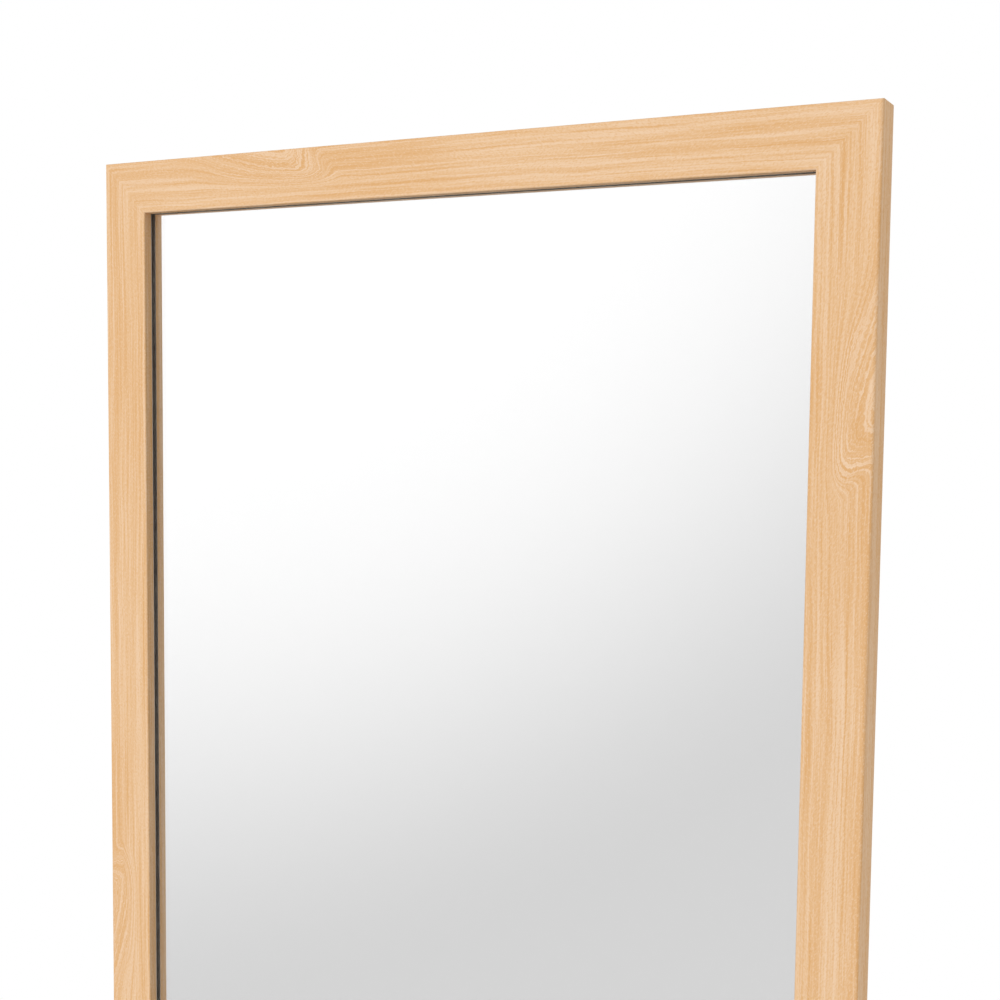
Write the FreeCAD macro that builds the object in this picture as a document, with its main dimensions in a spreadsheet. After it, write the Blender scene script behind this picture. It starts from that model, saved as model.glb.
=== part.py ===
import FreeCAD, Part

import math
import os
import re

import Sketcher

# Cheval floor mirror: a framed mirror hung between two posts on feet, tilting on a pair of clamp knobs.
# Millimetres. +X is the viewer's right, the mirror faces -Y, +Z is up.
# The origin is on the floor, under the middle of the stand.

# ---- driving dimensions
SIZES = {
    # mirror frame
    "frame_width": (460, "outer width of the mirror frame"),
    "frame_height": (1450, "outer height of the mirror frame"),
    "frame_lift": (140, "underside of the frame above the floor"),
    "rail_width": (30, "face width of the rails and stiles"),
    "rail_depth": (21, "front to back depth of the rails and stiles"),
    "lip_thick": (6, "wood in front of the glass"),
    "rebate_width": (10, "width of the rebate behind the lip"),
    "front_round": (1.5, "radius of the outer front edges"),
    "lip_round": (0.8, "radius of the edge round the glass"),
    "back_round": (1.2, "radius of the outer back edges"),
    # what lies in the rebate
    "glass_thick": (4, "silvered glass"),
    "glass_gap": (1.5, "gap between the glass and the rebate's wall"),
    "card_thick": (2, "packing card behind the glass"),
    "board_thick": (3, "backing board"),
    "block_length": (30, "rubber block under the glass"),
    # steel on the back of the frame
    "plate_arm": (60, "arm of a corner plate"),
    "plate_width": (12, "width of a corner plate"),
    "plate_thick": (1.5, "thickness of a corner plate"),
    "plate_inset": (4, "corner plates and clips in from the frame's outside"),
    "plate_hole_near": (20, "first hole from the plate's corner"),
    "plate_hole_far": (50, "second hole from the plate's corner"),
    "clip_width": (12, "width of a retaining clip"),
    "clip_thick": (1.2, "thickness of a retaining clip"),
    "clip_toe": (10, "clip's reach over the backing board"),
    "clip_hole": (8, "clip's hole from its outer end"),
    "clips_a_side": (4, "clips along each stile"),
    "wood_screw_shank": (1.75, "radius of the small screws' shank"),
    "wood_screw_head": (3.4, "radius of their pan head"),
    "wood_screw_rise": (2.0, "height of their pan head"),
    "wood_screw_length": (12, "shank below the head"),
    "screw_clearance": (0.25, "hole in a plate, over the screw's radius"),
    "cross_depth": (1.3, "depth of the cross recess"),
    "cross_width": (0.9, "width of a cross recess's slot"),
    # pivots
    "pivot_rise": (15, "pivots above the middle of the frame"),
    "side_gap": (6, "gap between the frame and a post"),
    "insert_radius": (6, "threaded insert in a stile"),
    "insert_length": (15, "length of the insert"),
    "spacer_radius": (13, "friction spacer between stile and post"),
    "stud_radius": (4, "clamp knob's stud"),
    "turn_clearance": (0.05, "radial room round the stud"),
    "face_clearance": (0.15, "room between faces that turn on each other"),
    "bush_radius": (6, "sleeve bush in a post"),
    "washer_radius": (12, "washer under a knob"),
    "washer_thick": (1.6, "thickness of that washer"),
    "stud_reach": (12, "stud's length in the insert"),
    "stud_grip": (14, "stud's length in the knob"),
    "knob_radius": (20, "clamp knob"),
    "knob_length": (26, "length of the knob"),
    "knob_hub": (13, "radius of the knob's neck"),
    "knob_neck": (3, "length of the neck"),
    "knob_flare": (9, "where the flare reaches full radius"),
    "knob_round": (5, "radius of the knob's outer edge"),
    "scallop_radius": (7, "finger scallops round the knob"),
    "scallop_depth": (2, "depth of a scallop"),
    "scallop_count": (8, "number of scallops"),
    # stand
    "post_thick": (30, "post, side to side"),
    "post_depth": (40, "post, front to back"),
    "foot_length": (440, "foot, front to back"),
    "foot_width": (36, "foot, side to side"),
    "foot_height": (45, "foot at its middle"),
    "foot_toe": (22, "foot at its ends"),
    "foot_flat": (120, "flat on top of the foot"),
    "toe_round": (6, "radius of the toe's top edge"),
    "timber_round": (2.5, "softened edges of the stand"),
    "stretcher_height": (50, "stretcher between the posts"),
    "stretcher_thick": (22, "thickness of the stretcher"),
    "stretcher_lift": (75, "underside of the stretcher above the floor"),
    # glides
    "glide_radius": (14, "rubber glide under a foot"),
    "glide_thick": (4, "thickness of a glide"),
    "glide_inset": (28, "glide's middle in from the foot's end"),
    "glide_hole": (2.3, "screw hole in a glide"),
    "glide_recess": (5, "radius of the recess for the screw's head"),
    "glide_recess_depth": (2.6, "depth of that recess"),
    "glide_screw_shank": (2, "radius of a glide screw"),
    "glide_screw_head": (4.4, "radius of its head"),
    "glide_screw_rise": (2.2, "height of its head"),
    "glide_screw_length": (16, "shank below the head"),
    # connecting bolts, barrel nuts and dowels
    "bolt_radius": (3, "connecting bolt"),
    "bolt_room": (0.25, "bolt hole, over the bolt's radius"),
    "bolt_head": (5, "radius of the bolt's socket head"),
    "bolt_head_rise": (6, "height of the head"),
    "bolt_socket": (2.9, "hexagon socket, centre to corner"),
    "bolt_socket_depth": (3.5, "depth of the socket"),
    "bolt_past_nut": (3, "bolt end past the barrel nut"),
    "bolt_washer": (7, "radius of the bolt's washer"),
    "bolt_washer_thick": (1.6, "thickness of that washer"),
    "counterbore": (8, "radius of the hole for a bolt's head"),
    "foot_counterbore_depth": (18, "head's hole in the foot, from below"),
    "post_counterbore_depth": (12, "head's hole in the post, from outside"),
    "cap_thick": (3, "wooden cap over a bolt's head"),
    "nut_radius": (5, "barrel nut"),
    "nut_length": (14, "length of a barrel nut"),
    "foot_nut_rise": (18, "foot bolt's nut above the foot"),
    "stretcher_nut_in": (30, "stretcher bolt's nut in from the end"),
    "dowel_radius": (4, "wooden dowel"),
    "foot_dowel_in": (15, "dowel's length in the foot and in the post"),
    "foot_dowel_out": (12, "foot dowels from the bolt"),
    "stretcher_dowel_post": (10, "dowel's length in the post"),
    "stretcher_dowel_rail": (20, "dowel's length in the stretcher"),
    "stretcher_dowel_edge": (9, "dowels in from the stretcher's edges"),
    "blind_room": (1, "spare depth at the end of a blind hole"),
}

doc = FreeCAD.newDocument("ChevalMirror")
sheet = doc.addObject("Spreadsheet::Sheet", "Sizes")
for row, (name, (number, note)) in enumerate(SIZES.items(), start=1):
    sheet.set(f"A{row}", note)
    sheet.set(f"B{row}", str(number))
    sheet.setAlias(f"B{row}", name)
doc.recompute()
size = {name: number for name, (number, note) in SIZES.items()}

# heights and places that several pieces share, as expressions on the cells
FOOT_TOP = "(glide_thick + foot_height)"
PIVOT_HEIGHT = "(frame_lift + frame_height / 2 + pivot_rise)"
POST_INNER = "(frame_width / 2 + side_gap)"
POST_MIDDLE = "(frame_width / 2 + side_gap + post_thick / 2)"
POST_OUTER = "(frame_width / 2 + side_gap + post_thick)"
STRETCHER_MIDDLE = "(stretcher_lift + stretcher_height / 2)"
DOWEL_STEP = "(stretcher_height / 2 - stretcher_dowel_edge)"
BOARD_BACK = "(lip_thick + glass_thick + card_thick + board_thick)"
PANEL_WIDTH = "(frame_width - 2 * rail_width + 2 * rebate_width - 2 * glass_gap)"
PANEL_HEIGHT = "(frame_height - 2 * rail_width + 2 * rebate_width - 2 * glass_gap)"
SOLID_BACK = "(rail_width - rebate_width)"

SIDES = {"left": -1, "right": 1}
X_AXIS, Y_AXIS, Z_AXIS = FreeCAD.Vector(1, 0, 0), FreeCAD.Vector(0, 1, 0), FreeCAD.Vector(0, 0, 1)
exported = []


# ---- helpers
def cells(text):
    """The expression with each alias written as a cell of the sheet."""
    return re.sub(r"[a-z_]+", lambda word: "Sizes." + word[0] if word[0] in SIZES else word[0], text)


def bind(thing, prop, text):
    thing.setExpression(prop, cells(text))


def place(thing, x="0", y="0", z="0", turn=None):
    """Puts a piece at a point given by expressions, turned by (axis, angle)."""
    if turn:
        thing.Placement = FreeCAD.Placement(FreeCAD.Vector(), FreeCAD.Rotation(*turn))
    for letter, text in zip("xyz", (x, y, z)):
        bind(thing, f"Placement.Base.{letter}", text)
    return thing


def new_body(label, keep=True):
    body = doc.addObject("PartDesign::Body", label)
    body.Label = label
    if keep:
        exported.append(body)
    return body


def origin_plane(body, role):
    return next(o for o in body.Origin.OriginFeatures if o.Role == role)


def new_sketch(body, name, plane, offset):
    sketch = body.newObject("Sketcher::SketchObject", name)
    sketch.AttachmentSupport = (origin_plane(body, plane), [""])
    sketch.MapMode = "FlatFace"
    bind(sketch, "AttachmentOffset.Base.z", offset)
    return sketch


def fix_point(sketch, edge, point, x, y):
    """Ties a sketch point to the origin by two expressions."""
    for kind, axis, text in (("DistanceX", -2, x), ("DistanceY", -1, y)):
        if text == "0":
            sketch.addConstraint(Sketcher.Constraint("PointOnObject", edge, point, axis))
        else:
            index = sketch.addConstraint(Sketcher.Constraint(kind, -1, 1, edge, point, 1.0))
            bind(sketch, f"Constraints[{index}]", text)


def outline(body, name, plane, corners, offset="0"):
    """A closed outline through corners given as pairs of expressions."""
    sketch = new_sketch(body, name, plane, offset)
    count = len(corners)
    ring = [
        FreeCAD.Vector(math.cos(2 * math.pi * i / count), math.sin(2 * math.pi * i / count), 0)
        for i in range(count)
    ]
    for i in range(count):
        sketch.addGeometry(Part.LineSegment(ring[i], ring[(i + 1) % count]))
    for i in range(count):
        sketch.addConstraint(Sketcher.Constraint("Coincident", i, 2, (i + 1) % count, 1))
    for i, (x, y) in enumerate(corners):
        fix_point(sketch, i, 1, x, y)
    return sketch


def circles(body, name, plane, centres, radius, offset="0"):
    """Equal circles, each centre a pair of expressions."""
    sketch = new_sketch(body, name, plane, offset)
    for i, (x, y) in enumerate(centres):
        sketch.addGeometry(Part.Circle(FreeCAD.Vector(3 * i, 0, 0), Z_AXIS, 1))
        index = sketch.addConstraint(Sketcher.Constraint("Radius", i, 1.0))
        bind(sketch, f"Constraints[{index}]", radius)
        fix_point(sketch, i, 3, x, y)
    return sketch


def pad(body, sketch, length, midplane=False, backwards=False):
    """Material from a sketch, along its plane's normal (+Z, +X or -Y) unless backwards."""
    feature = body.newObject("PartDesign::Pad", sketch.Name + "_pad")
    feature.Profile = sketch
    feature.Midplane = midplane
    feature.Reversed = backwards
    bind(feature, "Length", length)
    doc.recompute()
    return feature


def pocket(body, sketch, length, midplane=False, backwards=False):
    """A cut from a sketch, against its plane's normal unless backwards; it has to take something away."""
    before = body.Shape.Volume
    feature = body.newObject("PartDesign::Pocket", sketch.Name + "_cut")
    feature.Profile = sketch
    feature.Midplane = midplane
    feature.Reversed = backwards
    bind(feature, "Length", length)
    doc.recompute()
    if not body.Shape.Volume < before - 0.01:
        raise RuntimeError(f"{body.Label}: {sketch.Name} cuts nothing")
    return feature


def near(a, b):
    return abs(a - b) < 0.01


def lies_in(bounds, **planes):
    """True if an edge's bounds are flat in these planes, such as z=0."""
    return all(
        near(getattr(bounds, axis.upper() + limit), value)
        for axis, value in planes.items()
        for limit in ("Min", "Max")
    )


def on_a_side(bounds, half):
    """True if an edge's bounds are flat at half a piece's width from its middle."""
    return lies_in(bounds, x=half) or lies_in(bounds, x=-half)


def edges_at(shape, test):
    """Names of the edges whose bounding box passes the test."""
    return [f"Edge{i}" for i, edge in enumerate(shape.Edges, start=1) if test(edge.BoundBox)]


def fillet(body, name, test, radius):
    base = body.Tip
    found = edges_at(base.Shape, test)
    if not found:
        raise RuntimeError(f"{body.Label}: {name} finds no edge")
    feature = body.newObject("PartDesign::Fillet", name)
    feature.Base = (base, found)
    bind(feature, "Radius", radius)
    doc.recompute()
    return feature


def box(label, length, width, height):
    solid = doc.addObject("Part::Box", label)
    solid.Label = label
    for prop, text in zip(("Length", "Width", "Height"), (length, width, height)):
        bind(solid, prop, text)
    return solid


def group(label, master, places):
    """Copies of one small piece, kept together as a group of separate solids."""
    copies = []
    for i, where in enumerate(places, start=1):
        copy = doc.addObject("App::Link", f"{label}_{i}")
        copy.LinkedObject = master
        copies.append(place(copy, *where[:3], turn=where[3] if len(where) > 3 else None))
    whole = doc.addObject("Part::Compound", label)
    whole.Label = label
    whole.Links = copies
    exported.append(whole)
    return whole


def turned_body(label, profile, keep=True):
    """A piece turned about its own Z axis from a profile of (radius, height) corners."""
    body = new_body(label, keep)
    sketch = outline(body, label + "_profile", "XZ_Plane", profile)
    feature = body.newObject("PartDesign::Revolution", label + "_turning")
    feature.Profile = sketch
    feature.ReferenceAxis = (sketch, ["V_Axis"])
    feature.Angle = 360
    doc.recompute()
    return body


def ring_body(label, inner, outer, length, keep=True):
    """A washer, bush or sleeve standing on its own XY plane."""
    corners = [(inner, "0"), (outer, "0"), (outer, length), (inner, length)]
    return turned_body(label, corners, keep)


def rod_body(label, radius, length, keep=True):
    corners = [("0", "0"), (radius, "0"), (radius, length), ("0", length)]
    return turned_body(label, corners, keep)


# ---- mirror frame
# Places of the fixings along a member, measured from its end.
def plate_holes(member_length):
    near_hole, far_hole = "(plate_inset + plate_hole_near)", "(plate_inset + plate_hole_far)"
    return [near_hole, far_hole, f"({member_length} - {near_hole})", f"({member_length} - {far_hole})"]


def clip_holes(member_length, count):
    return [f"({member_length} * {2 * i + 1} / {2 * count})" for i in range(count)]


def frame_member(label, length, clip_count):
    """A member along X with mitred ends: its outer edge is up and its face is at Y = 0."""
    body = new_body(label)
    face = outline(
        body,
        label + "_face",
        "XZ_Plane",
        [("0", "rail_width"), (length, "rail_width"), (f"{length} - rail_width", "0"), ("rail_width", "0")],
    )
    pad(body, face, "rail_depth", backwards=True)
    rebate = outline(
        body,
        label + "_rebate",
        "XZ_Plane",
        [("0", "0"), (length, "0"), (length, "rebate_width"), ("0", "rebate_width")],
        offset="-lip_thick",
    )
    pocket(body, rebate, "rail_depth - lip_thick")

    wide = size["rail_width"]
    deep = size["rail_depth"]
    fillet(body, label + "_outer_front", lambda b: lies_in(b, y=0, z=wide), "front_round")
    fillet(body, label + "_lip_front", lambda b: lies_in(b, y=0, z=0), "lip_round")
    fillet(body, label + "_outer_back", lambda b: lies_in(b, y=deep, z=wide), "back_round")

    plate_line = "rail_width - plate_inset - plate_width / 2"
    clip_line = "rail_width - plate_inset - clip_hole"
    centres = [(along, plate_line) for along in plate_holes(length)]
    centres += [(along, clip_line) for along in clip_holes(length, clip_count)]
    pilots = circles(body, label + "_pilots", "XZ_Plane", centres, "wood_screw_shank", offset="-rail_depth")
    pocket(body, pilots, "wood_screw_length + blind_room", backwards=True)
    return body


def insert_hole(body, along):
    """The hole for a threaded insert, in the middle of a stile's outer edge."""
    centre = [(along, "rail_depth / 2")]
    hole = circles(body, body.Label + "_insert", "XY_Plane", centre, "insert_radius", offset="rail_width")
    pocket(body, hole, "insert_length + blind_room")


CLIPS_A_SIDE = size["clips_a_side"]
FRAME_FRONT = "-rail_depth / 2"
top_rail = frame_member("top_rail", "frame_width", 1)
place(top_rail, "-frame_width / 2", FRAME_FRONT, "frame_lift + frame_height - rail_width")
bottom_rail = frame_member("bottom_rail", "frame_width", 1)
place(bottom_rail, "frame_width / 2", FRAME_FRONT, "frame_lift + rail_width", turn=(Y_AXIS, 180))
left_stile = frame_member("left_stile", "frame_height", CLIPS_A_SIDE)
insert_hole(left_stile, "frame_height / 2 + pivot_rise")
place(left_stile, "-frame_width / 2 + rail_width", FRAME_FRONT, "frame_lift", turn=(Y_AXIS, -90))
right_stile = frame_member("right_stile", "frame_height", CLIPS_A_SIDE)
insert_hole(right_stile, "frame_height / 2 - pivot_rise")
FRAME_TOP = "frame_lift + frame_height"
place(right_stile, "frame_width / 2 - rail_width", FRAME_FRONT, FRAME_TOP, turn=(Y_AXIS, 90))


# ---- glass, packing card and backing board
def panel(label, thick, front):
    """A sheet that fills the rebate, its front a distance behind the frame's face."""
    sheet_body = box(label, PANEL_WIDTH, thick, PANEL_HEIGHT)
    exported.append(sheet_body)
    return place(
        sheet_body,
        f"-{PANEL_WIDTH} / 2",
        f"-rail_depth / 2 + {front}",
        f"frame_lift + frame_height / 2 - {PANEL_HEIGHT} / 2",
    )


panel("mirror_glass", "glass_thick", "lip_thick")
panel("packing_card", "card_thick", "lip_thick + glass_thick")
panel("backing_board", "board_thick", "lip_thick + glass_thick + card_thick")

block = box("setting_block", "block_length", "glass_thick", "glass_gap")
group(
    "glass_setting_blocks",
    block,
    [
        (
            f"{sign} * {PANEL_WIDTH} / 4 - block_length / 2",
            "-rail_depth / 2 + lip_thick",
            f"frame_lift + {SOLID_BACK}",
        )
        for sign in SIDES.values()
    ],
)


# ---- screws, plates and clips on the frame's back
def cross_recess(body, name, top, reach, width, depth):
    """A cross cut into a screw's head at the height given."""
    half = f"{width} / 2"
    for turned, (x, y) in enumerate(((reach, half), (half, reach))):
        corners = [(f"-{x}", f"-{y}"), (x, f"-{y}"), (x, y), (f"-{x}", y)]
        slot = outline(body, f"{name}_{turned}", "XY_Plane", corners, offset=top)
        pocket(body, slot, depth)


def screw(label, shank, head, rise, length):
    """A pan-head screw: the head's underside is at Z = 0 and the shank goes down."""
    body = turned_body(
        label,
        [("0", f"-{length}"), (shank, f"-{length}"), (shank, "0"), (head, "0"), (head, rise), ("0", rise)],
        keep=False,
    )
    fillet(body, label + "_rim", lambda b: lies_in(b, z=size[rise]), f"{rise} * 0.6")
    cross_recess(body, label + "_cross", rise, f"{head} * 0.55", "cross_width", "cross_depth")
    return body


wood_screw = screw(
    "wood_screw", "wood_screw_shank", "wood_screw_head", "wood_screw_rise", "wood_screw_length"
)

corner_plate = new_body("corner_plate", keep=False)
plate_outline = outline(
    corner_plate,
    "plate_outline",
    "XZ_Plane",
    [
        ("0", "0"),
        ("plate_arm", "0"),
        ("plate_arm", "plate_width"),
        ("plate_width", "plate_width"),
        ("plate_width", "plate_arm"),
        ("0", "plate_arm"),
    ],
)
pad(corner_plate, plate_outline, "plate_thick", backwards=True)
middle = "plate_width / 2"
broad = size["plate_width"]
plate_drilling = circles(
    corner_plate,
    "plate_drilling",
    "XZ_Plane",
    [
        ("plate_hole_near", middle),
        ("plate_hole_far", middle),
        (middle, "plate_hole_near"),
        (middle, "plate_hole_far"),
    ],
    "wood_screw_shank + screw_clearance",
)
pocket(corner_plate, plate_drilling, "plate_thick")
arm = size["plate_arm"]
outer_corners = [(0, 0), (arm, 0), (arm, broad), (broad, arm), (0, arm)]
fillet(
    corner_plate,
    "plate_corners",
    lambda b: any(lies_in(b, x=x, z=z) for x, z in outer_corners),
    "plate_width / 4",
)

# each corner of the frame, as signs for X and Z and the turn that takes the plate there
FRAME_MIDDLE = "(frame_lift + frame_height / 2)"
CORNERS = [(-1, -1, 0), (1, -1, -90), (1, 1, 180), (-1, 1, 90)]
group(
    "corner_plates",
    corner_plate,
    [
        (
            f"{sx} * (frame_width / 2 - plate_inset)",
            "rail_depth / 2",
            f"{FRAME_MIDDLE} + {sz} * (frame_height / 2 - plate_inset)",
            (Y_AXIS, angle),
        )
        for sx, sz, angle in CORNERS
    ],
)

SCREW_OUT = (X_AXIS, -90)  # a screw's head towards +Y
plate_screw_places = []
for sx, sz, _ in CORNERS:
    for hole in ("plate_hole_near", "plate_hole_far"):
        along, across = f"(plate_inset + {hole})", "(plate_inset + plate_width / 2)"
        for from_side, from_end in ((along, across), (across, along)):
            plate_screw_places.append(
                (
                    f"{sx} * (frame_width / 2 - {from_side})",
                    "rail_depth / 2 + plate_thick",
                    f"{FRAME_MIDDLE} + {sz} * (frame_height / 2 - {from_end})",
                    SCREW_OUT,
                )
            )
group("corner_plate_screws", wood_screw, plate_screw_places)

# A clip steps down from the frame's back to the backing board, reaching towards +X from its foot at X = 0.
retaining_clip = new_body("retaining_clip", keep=False)
step = f"(rail_depth - {BOARD_BACK})"
wall = f"({SOLID_BACK} - plate_inset)"
clip_profile = outline(
    retaining_clip,
    "clip_profile",
    "XZ_Plane",
    [
        ("0", "0"),
        ("0", "clip_thick"),
        (f"{wall} + clip_thick", "clip_thick"),
        (f"{wall} + clip_thick", f"clip_thick - {step}"),
        (f"{wall} + clip_toe", f"clip_thick - {step}"),
        (f"{wall} + clip_toe", f"-{step}"),
        (wall, f"-{step}"),
        (wall, "0"),
    ],
)
pad(retaining_clip, clip_profile, "clip_width", midplane=True)
clip_drilling = circles(
    retaining_clip,
    "clip_drilling",
    "XY_Plane",
    [("clip_hole", "0")],
    "wood_screw_shank + screw_clearance",
    offset="clip_thick",
)
pocket(retaining_clip, clip_drilling, "clip_thick")

# Each clip: its place across and up the frame, and the direction it reaches in.
clip_spots = []
for along in clip_holes("frame_height", CLIPS_A_SIDE):
    clip_spots.append(("-(frame_width / 2 - plate_inset)", f"frame_lift + {along}", 1, 0))
    clip_spots.append(("frame_width / 2 - plate_inset", f"frame_lift + {along}", -1, 0))
clip_spots.append(("0", "frame_lift + plate_inset", 0, 1))
clip_spots.append(("0", "frame_lift + frame_height - plate_inset", 0, -1))


def clip_turn(dx, dz):
    """Turns a clip's X to the direction it reaches in, and its Z to +Y."""
    reach = FreeCAD.Vector(dx, 0, dz)
    rotation = FreeCAD.Rotation(reach, Y_AXIS.cross(reach), Y_AXIS, "XZY")
    return (rotation.Axis, math.degrees(rotation.Angle))


group(
    "retaining_clips",
    retaining_clip,
    [(x, "rail_depth / 2", z, clip_turn(dx, dz)) for x, z, dx, dz in clip_spots],
)
group(
    "clip_screws",
    wood_screw,
    [
        (f"{x} + {dx} * clip_hole", "rail_depth / 2 + clip_thick", f"{z} + {dz} * clip_hole", SCREW_OUT)
        for x, z, dx, dz in clip_spots
    ],
)

# ---- pivots
# Each side's pieces stand on their own XY plane and are turned so that +Z points away from the mirror.
STUD_LENGTH = "(stud_reach + side_gap + post_thick + face_clearance + washer_thick + stud_grip)"
for side, sign in SIDES.items():
    outward = (Y_AXIS, 90 * sign)
    turn_radius = "stud_radius + turn_clearance"

    pivot_insert = ring_body(f"{side}_pivot_insert", turn_radius, "insert_radius", "insert_length")
    place(pivot_insert, f"{sign} * (frame_width / 2 - insert_length)", "0", PIVOT_HEIGHT, turn=outward)

    spacer = ring_body(f"{side}_friction_spacer", turn_radius, "spacer_radius", "side_gap - face_clearance")
    place(spacer, f"{sign} * frame_width / 2", "0", PIVOT_HEIGHT, turn=outward)

    bush = ring_body(f"{side}_pivot_bush", turn_radius, "bush_radius", "post_thick")
    place(bush, f"{sign} * {POST_INNER}", "0", PIVOT_HEIGHT, turn=outward)

    washer = ring_body(f"{side}_clamp_washer", turn_radius, "washer_radius", "washer_thick")
    place(washer, f"{sign} * ({POST_OUTER} + face_clearance)", "0", PIVOT_HEIGHT, turn=outward)

    stud = rod_body(f"{side}_knob_stud", "stud_radius", STUD_LENGTH)
    place(stud, f"{sign} * (frame_width / 2 - stud_reach)", "0", PIVOT_HEIGHT, turn=outward)
    fillet(stud, f"{side}_stud_tip", lambda b: lies_in(b, z=0), "stud_radius / 5")

    knob = turned_body(
        f"{side}_knob",
        [
            ("0", "stud_grip"),
            ("stud_radius", "stud_grip"),
            ("stud_radius", "0"),
            ("knob_hub", "0"),
            ("knob_hub", "knob_neck"),
            ("knob_radius", "knob_flare"),
            ("knob_radius", "knob_length"),
            ("0", "knob_length"),
        ],
    )
    fillet(knob, f"{side}_knob_crown", lambda b: lies_in(b, z=size["knob_length"]), "knob_round")
    scallop = circles(
        knob,
        f"{side}_scallop",
        "XY_Plane",
        [("knob_radius + scallop_radius - scallop_depth", "0")],
        "scallop_radius",
        offset="knob_length",
    )
    first = pocket(knob, scallop, "knob_length")
    ring = knob.newObject("PartDesign::PolarPattern", f"{side}_scallops")
    ring.Originals = [first]
    ring.Axis = (next(o for o in knob.Origin.OriginFeatures if o.Role == "Z_Axis"), [""])
    ring.Angle = 360
    bind(ring, "Occurrences", "scallop_count")
    knob.Tip = ring
    doc.recompute()
    place(knob, f"{sign} * ({POST_OUTER} + face_clearance + washer_thick)", "0", PIVOT_HEIGHT, turn=outward)

# ---- stand
# A post or foot is drawn with +X pointing away from the mirror.
FOOT_DOWELS = [("0", "-foot_dowel_out"), ("0", "foot_dowel_out")]
for side, sign in SIDES.items():
    facing = (Z_AXIS, 0 if sign > 0 else 180)

    post = new_body(f"{side}_post")
    post_length = f"({PIVOT_HEIGHT} - {FOOT_TOP})"
    shaft = outline(
        post,
        f"{side}_post_shaft",
        "YZ_Plane",
        [
            ("-post_depth / 2", "0"),
            ("post_depth / 2", "0"),
            ("post_depth / 2", post_length),
            ("-post_depth / 2", post_length),
        ],
    )
    pad(post, shaft, "post_thick", midplane=True)
    head = circles(post, f"{side}_post_head", "YZ_Plane", [("0", post_length)], "post_depth / 2")
    pad(post, head, "post_thick", midplane=True)
    half = size["post_thick"] / 2
    fillet(post, f"{side}_post_edges", lambda b: b.ZMax > 1 and on_a_side(b, half), "timber_round")

    bolt_height = f"({STRETCHER_MIDDLE} - {FOOT_TOP})"
    bush_hole = circles(post, f"{side}_bush_hole", "YZ_Plane", [("0", post_length)], "bush_radius")
    pocket(post, bush_hole, "post_thick", midplane=True)
    bolt_room = "bolt_radius + bolt_room"
    bolt_hole = circles(post, f"{side}_bolt_hole", "YZ_Plane", [("0", bolt_height)], bolt_room)
    pocket(post, bolt_hole, "post_thick", midplane=True)
    pocket(
        post,
        circles(
            post,
            f"{side}_bolt_head_hole",
            "YZ_Plane",
            [("0", bolt_height)],
            "counterbore",
            offset="post_thick / 2",
        ),
        "post_counterbore_depth",
    )
    pocket(
        post,
        circles(
            post,
            f"{side}_post_dowel_holes",
            "YZ_Plane",
            [("0", f"{bolt_height} - {DOWEL_STEP}"), ("0", f"{bolt_height} + {DOWEL_STEP}")],
            "dowel_radius",
            offset="-post_thick / 2",
        ),
        "stretcher_dowel_post",
        backwards=True,
    )
    pocket(
        post,
        circles(
            post,
            f"{side}_foot_nut_hole",
            "YZ_Plane",
            [("0", "foot_nut_rise")],
            "nut_radius",
            offset="-post_thick / 2",
        ),
        "post_thick / 2 + nut_length / 2",
        backwards=True,
    )
    pocket(
        post,
        circles(post, f"{side}_foot_bolt_hole", "XY_Plane", [("0", "0")], "bolt_radius + bolt_room"),
        "foot_nut_rise + nut_radius + bolt_past_nut + blind_room",
        backwards=True,
    )
    pocket(
        post,
        circles(post, f"{side}_foot_dowel_holes", "XY_Plane", FOOT_DOWELS, "dowel_radius"),
        "foot_dowel_in",
        backwards=True,
    )
    place(post, f"{sign} * {POST_MIDDLE}", "0", FOOT_TOP, turn=facing)

    foot = new_body(f"{side}_foot")
    slope = outline(
        foot,
        f"{side}_foot_slope",
        "YZ_Plane",
        [
            ("-foot_length / 2", "0"),
            ("foot_length / 2", "0"),
            ("foot_length / 2", "foot_toe"),
            ("foot_flat / 2", "foot_height"),
            ("-foot_flat / 2", "foot_height"),
            ("-foot_length / 2", "foot_toe"),
        ],
    )
    pad(foot, slope, "foot_width", midplane=True)
    toe = size["foot_length"] / 2
    toe_edge = lambda b: lies_in(b, y=toe, z=size["foot_toe"]) or lies_in(b, y=-toe, z=size["foot_toe"])
    fillet(foot, f"{side}_foot_toes", toe_edge, "toe_round")
    half = size["foot_width"] / 2
    fillet(foot, f"{side}_foot_edges", lambda b: b.ZMax > 1 and on_a_side(b, half), "timber_round")

    pocket(
        foot,
        circles(foot, f"{side}_foot_head_hole", "XY_Plane", [("0", "0")], "counterbore"),
        "foot_counterbore_depth",
        backwards=True,
    )
    pocket(
        foot,
        circles(foot, f"{side}_foot_through_hole", "XY_Plane", [("0", "0")], "bolt_radius + bolt_room"),
        "foot_height",
        backwards=True,
    )
    pocket(
        foot,
        circles(foot, f"{side}_dowel_holes", "XY_Plane", FOOT_DOWELS, "dowel_radius", offset="foot_height"),
        "foot_dowel_in",
    )
    glide_line = "(foot_length / 2 - glide_inset)"
    glide_centres = [("0", f"-{glide_line}"), ("0", glide_line)]
    pilots = circles(foot, f"{side}_glide_pilots", "XY_Plane", glide_centres, "glide_screw_shank")
    pocket(foot, pilots, "glide_screw_length", backwards=True)
    place(foot, f"{sign} * {POST_MIDDLE}", "0", "glide_thick", turn=facing)

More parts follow.
